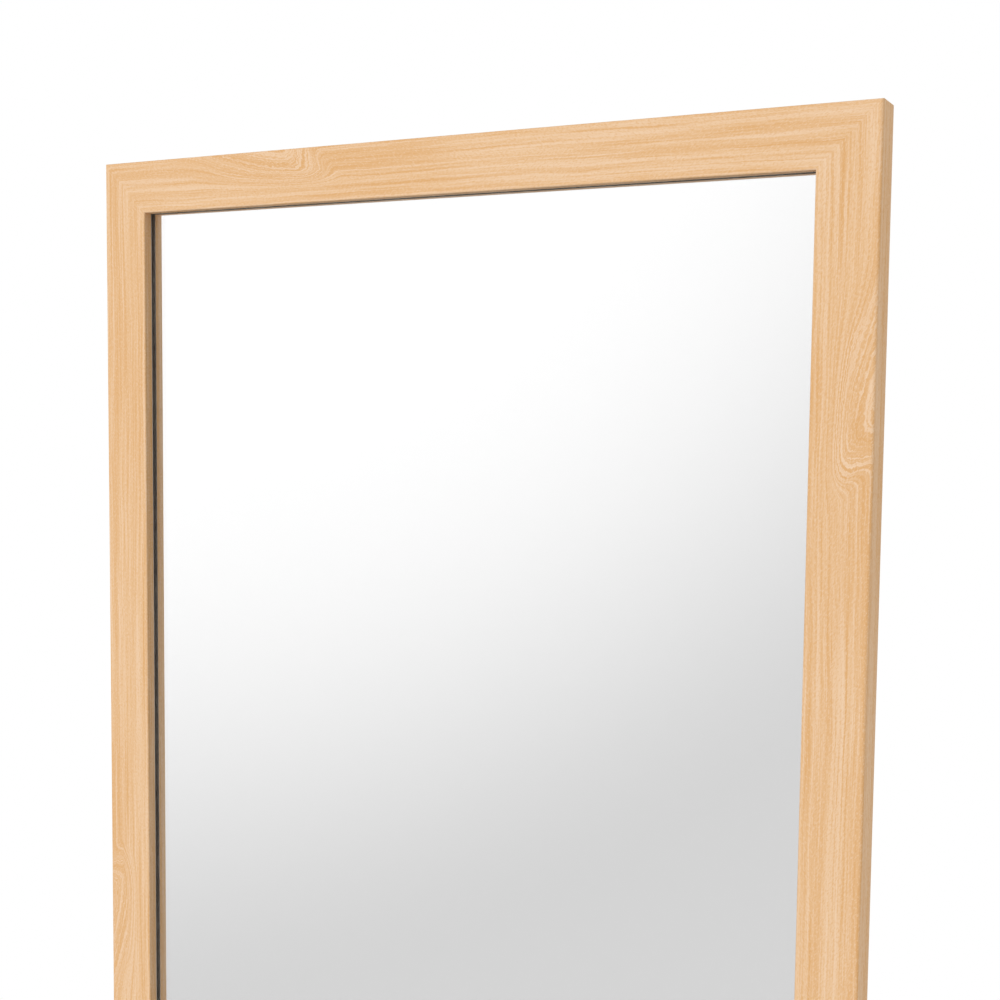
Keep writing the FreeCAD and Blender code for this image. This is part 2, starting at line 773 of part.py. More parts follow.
# The stretcher lies along X between the posts; its ends take a bolt and two dowels each.
stretcher = new_body("stretcher")
stretcher_length = f"(2 * {POST_INNER})"
section = outline(
    stretcher,
    "stretcher_section",
    "YZ_Plane",
    [
        ("-stretcher_thick / 2", "-stretcher_height / 2"),
        ("stretcher_thick / 2", "-stretcher_height / 2"),
        ("stretcher_thick / 2", "stretcher_height / 2"),
        ("-stretcher_thick / 2", "stretcher_height / 2"),
    ],
)
pad(stretcher, section, stretcher_length, midplane=True)
fillet(stretcher, "stretcher_edges", lambda b: b.XLength > 10, "timber_round")
for side, sign in SIDES.items():
    end = f"{sign} * {stretcher_length} / 2"
    bolt_end = circles(stretcher, f"{side}_end_bolt", "YZ_Plane", [("0", "0")], bolt_room, offset=end)
    bolt_depth = "stretcher_nut_in + nut_radius + bolt_past_nut + blind_room"
    pocket(stretcher, bolt_end, bolt_depth, backwards=sign < 0)
    centres = [("0", f"-{DOWEL_STEP}"), ("0", DOWEL_STEP)]
    dowel_ends = circles(stretcher, f"{side}_end_dowels", "YZ_Plane", centres, "dowel_radius", offset=end)
    pocket(stretcher, dowel_ends, "stretcher_dowel_rail", backwards=sign < 0)
pocket(
    stretcher,
    circles(
        stretcher,
        "stretcher_nut_holes",
        "XZ_Plane",
        [(f"{sign} * ({stretcher_length} / 2 - stretcher_nut_in)", "0") for sign in SIDES.values()],
        "nut_radius",
        offset="-stretcher_thick / 2",
    ),
    "stretcher_thick / 2 + nut_length / 2",
    backwards=True,
)
place(stretcher, "0", "0", STRETCHER_MIDDLE)

# ---- glides under the feet
glide = turned_body(
    "glide",
    [
        ("glide_hole", "glide_thick"),
        ("glide_hole", "glide_recess_depth"),
        ("glide_recess", "glide_recess_depth"),
        ("glide_recess", "0"),
        ("glide_radius", "0"),
        ("glide_radius", "glide_thick"),
    ],
    keep=False,
)
outer_rim = lambda b: lies_in(b, z=0) and b.XMax > size["glide_recess"] + 1
fillet(glide, "glide_rim", outer_rim, "glide_thick / 4")
glide_spots = [(f"{sx} * {POST_MIDDLE}", f"{sy} * {glide_line}") for sx in (-1, 1) for sy in (-1, 1)]
group("foot_glides", glide, [(x, y, "0") for x, y in glide_spots])
glide_screw = screw(
    "glide_screw", "glide_screw_shank", "glide_screw_head", "glide_screw_rise", "glide_screw_length"
)
group("glide_screws", glide_screw, [(x, y, "glide_recess_depth", (X_AXIS, 180)) for x, y in glide_spots])


# ---- bolts, washers, barrel nuts, dowels and caps
def socket_bolt(label, length):
    """A socket-head bolt: the head's underside is at Z = 0 and the shank goes up."""
    body = turned_body(
        label,
        [
            ("0", "-bolt_head_rise"),
            ("bolt_head", "-bolt_head_rise"),
            ("bolt_head", "0"),
            ("bolt_radius", "0"),
            ("bolt_radius", length),
            ("0", length),
        ],
        keep=False,
    )
    half_flat = "bolt_socket * cos(30)"
    corners = [
        ("bolt_socket", "0"),
        ("bolt_socket / 2", half_flat),
        ("-bolt_socket / 2", half_flat),
        ("-bolt_socket", "0"),
        ("-bolt_socket / 2", f"-{half_flat}"),
        ("bolt_socket / 2", f"-{half_flat}"),
    ]
    socket = outline(body, label + "_socket", "XY_Plane", corners, offset="-bolt_head_rise")
    pocket(body, socket, "bolt_socket_depth", backwards=True)
    return body


def barrel_nut(label):
    """A barrel nut lying along X, with its thread along Z."""
    body = new_body(label, keep=False)
    barrel = circles(body, label + "_barrel", "YZ_Plane", [("0", "0")], "nut_radius")
    pad(body, barrel, "nut_length", midplane=True)
    thread = circles(body, label + "_thread", "XY_Plane", [("0", "0")], "bolt_radius")
    pocket(body, thread, "3 * nut_radius", midplane=True)
    return body


nut = barrel_nut("barrel_nut")
washer = ring_body(
    "bolt_washer_ring", "bolt_radius + bolt_room", "bolt_washer", "bolt_washer_thick", keep=False
)

foot_washer_base = "(glide_thick + foot_counterbore_depth - bolt_washer_thick)"
foot_bolt_length = f"({FOOT_TOP} + foot_nut_rise + nut_radius + bolt_past_nut - {foot_washer_base})"
foot_bolt = socket_bolt("foot_bolt", foot_bolt_length)
post_lines = [f"{sign} * {POST_MIDDLE}" for sign in SIDES.values()]
group("foot_bolts", foot_bolt, [(x, "0", foot_washer_base) for x in post_lines])
group("foot_bolt_washers", washer, [(x, "0", foot_washer_base) for x in post_lines])
group("post_barrel_nuts", nut, [(x, "0", f"{FOOT_TOP} + foot_nut_rise") for x in post_lines])
foot_dowel = rod_body("foot_dowel", "dowel_radius", "2 * foot_dowel_in", keep=False)
group(
    "foot_dowels",
    foot_dowel,
    [(x, f"{sy} * foot_dowel_out", f"{FOOT_TOP} - foot_dowel_in") for x in post_lines for sy in (-1, 1)],
)

stretcher_washer_base = f"({POST_OUTER} - post_counterbore_depth + bolt_washer_thick)"
past_post = "(stretcher_nut_in + nut_radius + bolt_past_nut)"
stretcher_bolt_length = f"({stretcher_washer_base} - {POST_INNER} + {past_post})"
stretcher_bolt = socket_bolt("stretcher_bolt", stretcher_bolt_length)
stretcher_dowel_length = "stretcher_dowel_post + stretcher_dowel_rail"
stretcher_dowel = rod_body("stretcher_dowel", "dowel_radius", stretcher_dowel_length, keep=False)
cap = rod_body("bolt_cap", "counterbore", "cap_thick", keep=False)
fillet(cap, "cap_edge", lambda b: lies_in(b, z=size["cap_thick"]), "cap_thick / 4")

INWARD = {sign: (Y_AXIS, -90 * sign) for sign in SIDES.values()}
OUTWARD = {sign: (Y_AXIS, 90 * sign) for sign in SIDES.values()}
group(
    "stretcher_bolts",
    stretcher_bolt,
    [(f"{s} * {stretcher_washer_base}", "0", STRETCHER_MIDDLE, INWARD[s]) for s in SIDES.values()],
)
group(
    "stretcher_bolt_washers",
    washer,
    [(f"{s} * {stretcher_washer_base}", "0", STRETCHER_MIDDLE, INWARD[s]) for s in SIDES.values()],
)
# the nut's barrel along Y, its thread along X
NUT_TURN = (FreeCAD.Vector(1, 1, 1), 120)
group(
    "stretcher_barrel_nuts",
    nut,
    [(f"{s} * ({POST_INNER} - stretcher_nut_in)", "0", STRETCHER_MIDDLE, NUT_TURN) for s in SIDES.values()],
)
group(
    "stretcher_dowels",
    stretcher_dowel,
    [
        (
            f"{s} * ({POST_INNER} - stretcher_dowel_rail)",
            "0",
            f"{STRETCHER_MIDDLE} + {sz} * {DOWEL_STEP}",
            OUTWARD[s],
        )
        for s in SIDES.values()
        for sz in (-1, 1)
    ],
)
group(
    "bolt_caps",
    cap,
    [(f"{s} * ({POST_OUTER} - cap_thick)", "0", STRETCHER_MIDDLE, OUTWARD[s]) for s in SIDES.values()],
)

# ---- check and write
doc.recompute()
for thing in doc.Objects:
    if {"Invalid", "Error"} & set(thing.State):
        raise RuntimeError(f"{thing.Label} failed: {thing.State}")
for thing in exported:
    if thing.Shape.isNull() or not thing.Shape.isValid() or not thing.Shape.Solids:
        raise RuntimeError(f"{thing.Label} has no valid solid")

os.makedirs("parts", exist_ok=True)
for old in os.listdir("parts"):
    os.remove(os.path.join("parts", old))
for thing in exported:
    thing.Shape.exportStep(os.path.join("parts", thing.Label + ".step"))
    solids = len(thing.Shape.Solids)
    print(f"{thing.Label}: {solids} solid(s), {sum(s.Volume for s in thing.Shape.Solids):.0f} mm3")
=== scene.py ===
import math

import bmesh
import bpy
from mathutils import Matrix, Vector


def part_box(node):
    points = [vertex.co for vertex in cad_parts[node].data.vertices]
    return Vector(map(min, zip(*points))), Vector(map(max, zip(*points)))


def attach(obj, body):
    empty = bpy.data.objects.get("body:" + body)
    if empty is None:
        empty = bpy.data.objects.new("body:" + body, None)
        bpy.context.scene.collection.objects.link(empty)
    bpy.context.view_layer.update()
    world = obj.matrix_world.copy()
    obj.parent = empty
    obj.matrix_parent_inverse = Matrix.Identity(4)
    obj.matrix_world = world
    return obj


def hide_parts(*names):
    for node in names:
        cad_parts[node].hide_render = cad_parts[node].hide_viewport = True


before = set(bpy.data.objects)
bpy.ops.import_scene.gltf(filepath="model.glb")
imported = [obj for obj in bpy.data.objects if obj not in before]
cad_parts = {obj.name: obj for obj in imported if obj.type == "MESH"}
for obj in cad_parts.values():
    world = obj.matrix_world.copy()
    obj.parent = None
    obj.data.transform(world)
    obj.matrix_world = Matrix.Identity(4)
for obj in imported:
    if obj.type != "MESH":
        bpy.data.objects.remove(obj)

print("cheval mirror: frame loaded")
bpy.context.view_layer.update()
scene = bpy.context.scene
mm = 0.001
toRight, toBack, upwards = Vector((1, 0, 0)), Vector((0, 1, 0)), Vector((0, 0, 1))
sides = {"left": -1, "right": 1}


# helpers that build node trees
def addNode(tree, kind, inputs=None, **settings):
    node = tree.nodes.new(kind)
    for name, value in settings.items():
        setattr(node, name, value)
    for name, value in (inputs or {}).items():
        if isinstance(value, bpy.types.NodeSocket):
            tree.links.new(value, node.inputs[name])
        else:
            node.inputs[name].default_value = value
    return node


def calc(tree, operation, first, second):
    return addNode(tree, "ShaderNodeMath", {0: first, 1: second}, operation=operation).outputs[0]


def fade(tree, value, low, high, start=0.0, end=1.0):  # smooth step from start to end
    limits = {"Value": value, "From Min": low, "From Max": high, "To Min": start, "To Max": end}
    return addNode(tree, "ShaderNodeMapRange", limits, interpolation_type="SMOOTHSTEP").outputs[0]


def stretched(tree, vector, scales, offset=(0, 0, 0)):
    parts = {0: vector, 1: scales, 2: offset}
    return addNode(tree, "ShaderNodeVectorMath", parts, operation="MULTIPLY_ADD").outputs[0]


def cloud(tree, vector, detail=2.0, roughness=0.5):  # noise of cell size 1 in the vector's own units
    settings = {"Vector": vector, "Scale": 1.0, "Detail": detail, "Roughness": roughness}
    return addNode(tree, "ShaderNodeTexNoise", settings).outputs[0]


def blended(tree, factor, first, second, way="MIX"):
    node = addNode(tree, "ShaderNodeMix", data_type="RGBA", blend_type=way)
    for socket, value in zip((node.inputs[0], node.inputs[6], node.inputs[7]), (factor, first, second)):
        if isinstance(value, bpy.types.NodeSocket):
            tree.links.new(value, socket)
        elif isinstance(value, (int, float)):
            socket.default_value = value
        else:
            socket.default_value = (*value, 1)
    return node.outputs[2]


def newMaterial(name, **sockets):
    material = bpy.data.materials.new(name)
    material.use_nodes = True
    tree = material.node_tree
    shader = tree.nodes["Principled BSDF"]
    for socket, value in sockets.items():
        shader.inputs[socket.replace("_", " ")].default_value = value
    return material, tree, shader


def raised(tree, shader, height, distance, strength=1.0):
    bump = addNode(tree, "ShaderNodeBump", {"Height": height, "Distance": distance, "Strength": strength})
    tree.links.new(bump.outputs[0], shader.inputs["Normal"])


def objectPlace(tree):
    return addNode(tree, "ShaderNodeTexCoord").outputs["Object"]


oakLook = {
    "base": (0.790, 0.527, 0.309),
    "amber": (0.705, 0.395, 0.162),
    "pale": (0.840, 0.614, 0.424),
    "bandWidth": 6.0 * mm,  # broad bands along the grain
    "streakWidth": 1.5 * mm,
    "fibreWidth": 0.75 * mm,
    "curls": (0.25, 0.60, 1.010, 1.578, 2.052, 2.62, 3.08, 3.56),  # metres along the grain
    "curlLead": 78 * mm,  # the lines sweep in slowly before a curl and turn back sharply after it
    "curlTail": 27 * mm,
    "curlRise": 22 * mm,
    "curlFrom": 7 * mm,  # across the face, where the curls start to bend the grain
    "curlTo": 20 * mm,
    "wakeAfter": 55 * mm,  # past each curl the wood stays darker for a while
    "wakeNear": 20 * mm,
    "wakeFar": 60 * mm,
    "ridgeGap": 3.4 * mm,
    "roughness": 0.55,
}


def curlHeight(tree, along):
    # how far the nearest curl pushes the grain aside at this place along the wood
    look = oakLook
    nearest, nearestSize = None, None
    for place in look["curls"]:
        away = calc(tree, "SUBTRACT", along, place)
        size = calc(tree, "ABSOLUTE", away, 0)
        if nearest is not None:
            closer = calc(tree, "LESS_THAN", size, nearestSize)
            away = addNode(tree, "ShaderNodeMix", {0: closer, 2: nearest, 3: away}).outputs[0]
            size = calc(tree, "MINIMUM", size, nearestSize)
        nearest, nearestSize = away, size
    before = fade(tree, nearest, -look["curlLead"], 0)
    after = fade(tree, nearest, 0, look["curlTail"], 1, 0)
    height = calc(tree, "MULTIPLY", calc(tree, "MULTIPLY", before, after), look["curlRise"])
    fromWake = calc(tree, "ABSOLUTE", calc(tree, "SUBTRACT", nearest, look["wakeAfter"]), 0)
    wake = fade(tree, fromWake, look["wakeNear"], look["wakeFar"], 1, 0)
    return height, wake


def oakMaterial(name, grainOrder=None):
    # reads the piece's own "grain" attribute (along, across, through),
    # or object coordinates in the order given
    look = oakLook
    material, tree, shader = newMaterial(name, Specular_IOR_Level=0.12)
    if grainOrder is None:
        grain = addNode(tree, "ShaderNodeAttribute", attribute_name="grain").outputs["Vector"]
    else:
        place = addNode(tree, "ShaderNodeSeparateXYZ", {0: objectPlace(tree)})
        picked = {i: place.outputs["XYZ".index(letter)] for i, letter in enumerate(grainOrder)}
        grain = addNode(tree, "ShaderNodeCombineXYZ", picked).outputs[0]
    along, across, through = addNode(tree, "ShaderNodeSeparateXYZ", {0: grain}).outputs

    # curls at the outer edge of the face, ragged edges and a slow waver bend the straight grain
    rise, wake = curlHeight(tree, along)
    outer = fade(tree, across, look["curlFrom"], look["curlTo"])
    face = calc(tree, "MULTIPLY", outer, fade(tree, through, 0.6 * mm, 2.4 * mm, 1, 0))
    swing = calc(tree, "MULTIPLY", rise, face)
    waver = calc(tree, "MULTIPLY", cloud(tree, stretched(tree, grain, (9, 40, 40)), 2), 5 * mm)
    near = fade(tree, swing, 1.5 * mm, 9 * mm)
    rough = fade(tree, near, 0, 1, 0.8 * mm, 4.4 * mm)
    ragged = calc(tree, "MULTIPLY", cloud(tree, stretched(tree, grain, (240, 420, 420)), 3, 0.6), rough)
    bend = calc(tree, "ADD", calc(tree, "ADD", swing, waver), ragged)
    shift = addNode(tree, "ShaderNodeCombineXYZ", {1: bend}).outputs[0]
    flow = addNode(tree, "ShaderNodeVectorMath", {0: grain, 1: shift}, operation="ADD").outputs[0]

    def layer(alongCell, acrossCell, detail=1.0, roughness=0.5):
        cells = (1 / alongCell, 1 / acrossCell, 1 / acrossCell)
        return cloud(tree, stretched(tree, flow, cells), detail, roughness)

    bands = layer(0.40, look["bandWidth"], 1)
    streaks = layer(0.14, look["streakWidth"], 2, 0.6)
    fibre = layer(0.035, look["fibreWidth"], 2, 0.6)
    pores = fade(tree, layer(0.006, 0.8 * mm), 0.60, 0.72)
    stipple = cloud(tree, stretched(tree, grain, (780, 1050, 1050)), 2, 0.7)

    # pale ridges, unevenly spaced, follow the bent grain round each curl
    offMiddle = calc(tree, "ABSOLUTE", calc(tree, "SUBTRACT", layer(0.20, look["ridgeGap"]), 0.5), 0)
    ridges = calc(tree, "MULTIPLY", fade(tree, offMiddle, 0.01, 0.05, 1, 0), near)
    ridges = calc(tree, "MULTIPLY", ridges, fade(tree, fibre, 0.30, 0.55, 0.35, 1.0))

    colour = blended(tree, fade(tree, bands, 0.40, 0.68, 0, 0.50), look["base"], look["amber"])
    colour = blended(tree, fade(tree, bands, 0.46, 0.26, 0, 0.45), colour, look["pale"])
    patch = calc(tree, "MULTIPLY", calc(tree, "MAXIMUM", near, calc(tree, "MULTIPLY", wake, face)), 0.42)
    colour = blended(tree, patch, colour, look["amber"])
    colour = blended(tree, fade(tree, streaks, 0.52, 0.68, 0, 0.85), colour, look["amber"])
    colour = blended(tree, fade(tree, streaks, 0.48, 0.32, 0, 0.75), colour, look["pale"])
    colour = blended(tree, fade(tree, fibre, 0.54, 0.72, 0, 0.45), colour, look["amber"])
    colour = blended(tree, fade(tree, fibre, 0.46, 0.28, 0, 0.50), colour, look["pale"])
    colour = blended(tree, calc(tree, "MULTIPLY", ridges, 0.85), colour, look["pale"])
    colour = blended(tree, calc(tree, "MULTIPLY", pores, 0.30), colour, look["amber"])
    colour = blended(tree, fade(tree, stipple, 0.52, 0.66, 0, 0.48), colour, look["amber"])
    colour = blended(tree, fade(tree, stipple, 0.48, 0.34, 0, 0.48), colour, look["pale"])
    tree.links.new(colour, shader.inputs["Base Color"])
    rough = fade(tree, fibre, 0.3, 0.7, look["roughness"] - 0.06, look["roughness"] + 0.08)
    tree.links.new(rough, shader.inputs["Roughness"])
    height = calc(tree, "SUBTRACT", calc(tree, "MULTIPLY", fibre, 0.6), calc(tree, "MULTIPLY", pores, 0.5))
    raised(tree, shader, height, 0.10 * mm, 0.30)
    return material


def zincMaterial(name, dark, light, roughness):
    # zinc plate: a faint spangle under fine brushing
    material, tree, shader = newMaterial(name, Metallic=1.0)
    place = objectPlace(tree)
    spangle = cloud(tree, stretched(tree, place, (300, 300, 300)), 2)
    brushed = cloud(tree, stretched(tree, place, (1800, 300, 1800)), 2)
    colour = blended(tree, fade(tree, spangle, 0.35, 0.65), dark, light)
    tree.links.new(colour, shader.inputs["Base Color"])
    matt = fade(tree, brushed, 0.3, 0.7, roughness - 0.06, roughness + 0.08)
    tree.links.new(matt, shader.inputs["Roughness"])
    raised(tree, shader, brushed, 0.02 * mm, 0.3)
    return material


def blackSteelMaterial():
    material, tree, shader = newMaterial("blackSteel", Metallic=0.85)
    bloom = cloud(tree, stretched(tree, objectPlace(tree), (700, 700, 700)), 3)
    colour = blended(tree, fade(tree, bloom, 0.4, 0.65), (0.018, 0.018, 0.020), (0.050, 0.048, 0.045))
    tree.links.new(colour, shader.inputs["Base Color"])
    tree.links.new(fade(tree, bloom, 0.3, 0.7, 0.34, 0.50), shader.inputs["Roughness"])
    raised(tree, shader, bloom, 0.02 * mm, 0.3)
    return material


def brassMaterial():
    material, tree, shader = newMaterial("turnedBrass", Metallic=1.0)
    place = objectPlace(tree)
    marks = cloud(tree, stretched(tree, place, (3000, 500, 500)), 2)
    tarnish = cloud(tree, stretched(tree, place, (300, 300, 300)), 3)
    colour = blended(tree, fade(tree, tarnish, 0.4, 0.7), (0.70, 0.50, 0.20), (0.50, 0.33, 0.13))
    tree.links.new(colour, shader.inputs["Base Color"])
    tree.links.new(fade(tree, marks, 0.3, 0.7, 0.22, 0.38), shader.inputs["Roughness"])
    raised(tree, shader, marks, 0.02 * mm, 0.4)
    return material


def mouldedMaterial(name, dark, light, roughness, grainSize):
    # rubber and nylon: a fine moulded grain with slight mottling
    material, tree, shader = newMaterial(name, Specular_IOR_Level=0.35)
    place = objectPlace(tree)
    mottle = cloud(tree, stretched(tree, place, (150, 150, 150)), 3)
    grit = cloud(tree, stretched(tree, place, (1 / grainSize,) * 3), 2)
    tree.links.new(blended(tree, fade(tree, mottle, 0.35, 0.65), dark, light), shader.inputs["Base Color"])
    matt = fade(tree, grit, 0.3, 0.7, roughness - 0.07, roughness + 0.07)
    tree.links.new(matt, shader.inputs["Roughness"])
    raised(tree, shader, grit, 0.05 * mm, 0.5)
    return material


def boardMaterial(name, dark, light, flute=0.0):
    # pressed fibre: hardboard, and brown card with faint flutes
    material, tree, shader = newMaterial(name, Specular_IOR_Level=0.25)
    place = objectPlace(tree)
    fibres = cloud(tree, stretched(tree, place, (900, 900, 260)), 3, 0.65)
    patches = cloud(tree, stretched(tree, place, (14, 14, 9)), 3)
    flecks = fade(tree, cloud(tree, stretched(tree, place, (420, 420, 170)), 1), 0.66, 0.74)
    colour = blended(tree, fade(tree, fibres, 0.3, 0.7), dark, light)
    colour = blended(tree, fade(tree, patches, 0.35, 0.7, 0, 0.35), colour, dark)
    colour = blended(tree, calc(tree, "MULTIPLY", flecks, 0.5), colour, [value * 0.5 for value in dark])
    tree.links.new(colour, shader.inputs["Base Color"])
    tree.links.new(fade(tree, patches, 0.3, 0.7, 0.50, 0.66), shader.inputs["Roughness"])
    waves = {"Vector": place, "Scale": 45.0, "Distortion": 0.3}
    ribs = addNode(tree, "ShaderNodeTexWave", waves).outputs["Fac"]
    height = calc(tree, "ADD", fibres, calc(tree, "MULTIPLY", ribs, flute))
    raised(tree, shader, height, 0.08 * mm, 0.5)
    return material


def silverMaterial():
    material, tree, shader = newMaterial("silvering", Metallic=1.0, Base_Color=(0.965, 0.965, 0.965, 1))
    film = cloud(tree, stretched(tree, objectPlace(tree), (3, 3, 3)), 2)
    tree.links.new(fade(tree, film, 0.35, 0.75, 0.0, 0.012), shader.inputs["Roughness"])
    return material


def glassMaterial():
    material, tree, shader = newMaterial(
        "floatGlass", Base_Color=(1.0, 1.0, 1.0, 1), Transmission_Weight=1.0, IOR=1.5, Roughness=0.0
    )
    dust = cloud(tree, stretched(tree, objectPlace(tree), (6, 6, 6)), 4)
    tree.links.new(fade(tree, dust, 0.55, 0.9, 0.0, 0.01), shader.inputs["Roughness"])
    return material


oak = oakMaterial("lightOak")
zinc = zincMaterial("brightZinc", (0.60, 0.61, 0.62), (0.68, 0.69, 0.69), 0.32)
screwZinc = zincMaterial("screwZinc", (0.36, 0.35, 0.33), (0.46, 0.44, 0.40), 0.26)
blackSteel = blackSteelMaterial()
brass = brassMaterial()
rubber = mouldedMaterial("blackRubber", (0.012, 0.012, 0.013), (0.026, 0.025, 0.024), 0.62, 0.5 * mm)
foam = mouldedMaterial("greyFoam", (0.62, 0.62, 0.62), (0.72, 0.72, 0.71), 0.8, 0.6 * mm)
nylon = mouldedMaterial("naturalNylon", (0.60, 0.56, 0.47), (0.70, 0.66, 0.57), 0.45, 0.8 * mm)
hardboard = boardMaterial("hardboard", (0.135, 0.075, 0.038), (0.235, 0.145, 0.080))
card = boardMaterial("packingCard", (0.30, 0.19, 0.10), (0.42, 0.28, 0.16), flute=1.5)
film = mouldedMaterial("backingFilm", (0.085, 0.095, 0.105), (0.120, 0.130, 0.140), 0.5, 0.7 * mm)
silver = silverMaterial()
glass = glassMaterial()
print("materials made")


# helpers that build and place meshes
def newObject(name, mesh):
    thing = bpy.data.objects.new(name, mesh)
    scene.collection.objects.link(thing)
    return thing


def settled(thing):  # the modifiers' result as a plain mesh
    depsgraph = bpy.context.evaluated_depsgraph_get()
    mesh = bpy.data.meshes.new_from_object(thing.evaluated_get(depsgraph))
    thing.modifiers.clear()
    plain = thing.data
    thing.data = mesh
    bpy.data.meshes.remove(plain)
    return thing


def meshFrom(name, shape):
    bmesh.ops.remove_doubles(shape, verts=shape.verts, dist=0.001 * mm)
    bmesh.ops.recalc_face_normals(shape, faces=shape.faces)
    mesh = bpy.data.meshes.new(name)
    shape.to_mesh(mesh)
    shape.free()
    return mesh


def evenlyShaded(thing, angle=35):
    mesh = thing.data
    mesh.polygons.foreach_set("use_smooth", [True] * len(mesh.polygons))
    mesh.set_sharp_from_angle(angle=math.radians(angle))
    thing.modifiers.new("evenShading", "WEIGHTED_NORMAL").keep_sharp = True
    return settled(thing)


def giveGrain(thing, along, across, through, offset):
    # tells the wood which way its grain runs, in metres
    grain = thing.data.attributes.new("grain", "FLOAT_VECTOR", "POINT")
    values = []
    for vertex in thing.data.vertices:
        values += [vertex.co.dot(axis) + shift for axis, shift in zip((along, across, through), offset)]
    grain.data.foreach_set("vector", values)
    return thing


def painted(thing, material):
    thing.data.materials.clear()
    thing.data.materials.append(material)
    return thing


def placed(thing, body, slotName, *nodes):
    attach(thing, body)
    if nodes:
        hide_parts(*nodes)
    return thing


def roundedOutline(corners, steps=8):
    # corners are (a, b, radius); each radius becomes an arc
    points = []
    for i, (a, b, radius) in enumerate(corners):
        here = Vector((a, b))
        before = (Vector(corners[i - 1][:2]) - here).normalized()
        after = (Vector(corners[(i + 1) % len(corners)][:2]) - here).normalized()
        if radius == 0:
            points.append(here)
            continue
        half = before.angle(after) / 2
        middle = here + (before + after).normalized() * (radius / math.sin(half))
        start = here + before * (radius / math.tan(half)) - middle
        turn = (math.pi - 2 * half) * (1 if before.cross(after) < 0 else -1)
        for step in range(steps + 1):
            points.append(middle + Matrix.Rotation(turn * step / steps, 2) @ start)
    return points


def prism(name, outline, low, high, axes, rimRound=0.0, keepSharp=None):
    # an outline pushed from low to high; its rims are rounded unless keepSharp says not to
    first, second, push = axes
    shape = bmesh.new()
    flat = [first * a + second * b for a, b in outline]
    ends = [[shape.verts.new(point + push * level) for point in flat] for level in (low, high)]
    shape.faces.new(ends[0])
    shape.faces.new(list(reversed(ends[1])))
    count = len(outline)
    rims = []
    for i in range(count):
        after = (i + 1) % count
        shape.faces.new((ends[0][i], ends[1][i], ends[1][after], ends[0][after]))
        for end in ends:
            edge = shape.edges.get((end[i], end[after]))
            middle = (end[i].co + end[after].co) / 2
            if keepSharp is None or not keepSharp(middle):
                rims.append(edge)
    if rimRound:
        bmesh.ops.recalc_face_normals(shape, faces=shape.faces)
        bmesh.ops.bevel(
            shape, geom=rims, offset=rimRound, segments=4, profile=0.5, affect="EDGES", clamp_overlap=False
        )
    return newObject(name, meshFrom(name, shape))


def turned(name, profile, sidesRound=48, limit=None, ring=False):
    # a profile of (radius, height) turned about Z; ring joins its last point to its first
    shape = bmesh.new()
    rows = []
    for radius, height in profile:
        if radius == 0:
            rows.append([shape.verts.new((0, 0, height))] * sidesRound)
            continue
        row = []
        for step in range(sidesRound):
            angle = 2 * math.pi * step / sidesRound
            reach = min(radius, limit(angle)) if limit else radius
            row.append(shape.verts.new((reach * math.cos(angle), reach * math.sin(angle), height)))
        rows.append(row)
    pairs = list(zip(rows, rows[1:])) + ([(rows[-1], rows[0])] if ring else [])
    for lower, upper in pairs:
        for step in range(sidesRound):
            after = (step + 1) % sidesRound
            corners = [lower[step], lower[after], upper[after], upper[step]]
            shape.faces.new(list(dict.fromkeys(corners)))
    return newObject(name, meshFrom(name, shape))


def drilled(thing, holes):
    # holes are (point, axis, radius, length), each a round cutter from the point along the axis
    cutter = bmesh.new()
    for point, axis, radius, length in holes:
        turn = axis.to_track_quat("Z", "Y").to_matrix().to_4x4()
        place = Matrix.Translation(point + axis * (length / 2)) @ turn
        bmesh.ops.create_cone(
            cutter, cap_ends=True, segments=40, radius1=radius, radius2=radius, depth=length, matrix=place
        )
    tool = newObject("drill", bpy.data.meshes.new("drill"))
    cutter.to_mesh(tool.data)
    cutter.free()
    cut = thing.modifiers.new("drill", "BOOLEAN")
    cut.object, cut.solver, cut.operation = tool, "EXACT", "DIFFERENCE"
    bpy.context.view_layer.update()
    settled(thing)
    bpy.data.objects.remove(tool)
    return thing


def solidsOf(node):
    # the box of each separate solid in a CAD node, in a steady order
    shape = bmesh.new()
    shape.from_mesh(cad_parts[node].data)
    bmesh.ops.remove_doubles(shape, verts=shape.verts, dist=0.005 * mm)
    shape.verts.ensure_lookup_table()
    seen, boxes = set(), []
    for vertex in shape.verts:
        if vertex in seen:
            continue
        seen.add(vertex)
        pile, found = [vertex], []
        while pile:
            here = pile.pop()
            found.append(here.co.copy())
            for edge in here.link_edges:
                other = edge.other_vert(here)
                if other not in seen:
                    seen.add(other)
                    pile.append(other)
        low = Vector([min(point[i] for point in found) for i in range(3)])
        high = Vector([max(point[i] for point in found) for i in range(3)])
        boxes.append((low, high))
    shape.free()
    return sorted(boxes, key=lambda box: tuple(round(value, 4) for value in box[0]))


# the frame's four mitred members all come from one node tree
memberPlan = {
    "lip": 6 * mm,
    "rebate": 10 * mm,
    "frontRound": 1.5 * mm,
    "lipRound": 0.8 * mm,
    "backRound": 1.2 * mm,
    "innerRound": 0.3 * mm,
    "arcSteps": 5,
}


def newGroup(name, inputs):
    tree = bpy.data.node_groups.new(name, "GeometryNodeTree")
    for label, kind in inputs:
        tree.interface.new_socket(label, in_out="INPUT", socket_type="NodeSocket" + kind)
    tree.interface.new_socket("Geometry", in_out="OUTPUT", socket_type="NodeSocketGeometry")
    return tree, tree.nodes.new("NodeGroupInput").outputs


def grow(thing, tree, **values):
    # runs a node tree on an object with its inputs set, and keeps the result as a plain mesh
    modifier = thing.modifiers.new(tree.name, "NODES")
    modifier.node_group = tree
    for item in tree.interface.items_tree:
        if item.in_out == "INPUT" and item.name in values:
            modifier[item.identifier] = values[item.name]
    bpy.context.view_layer.update()
    return settled(thing)


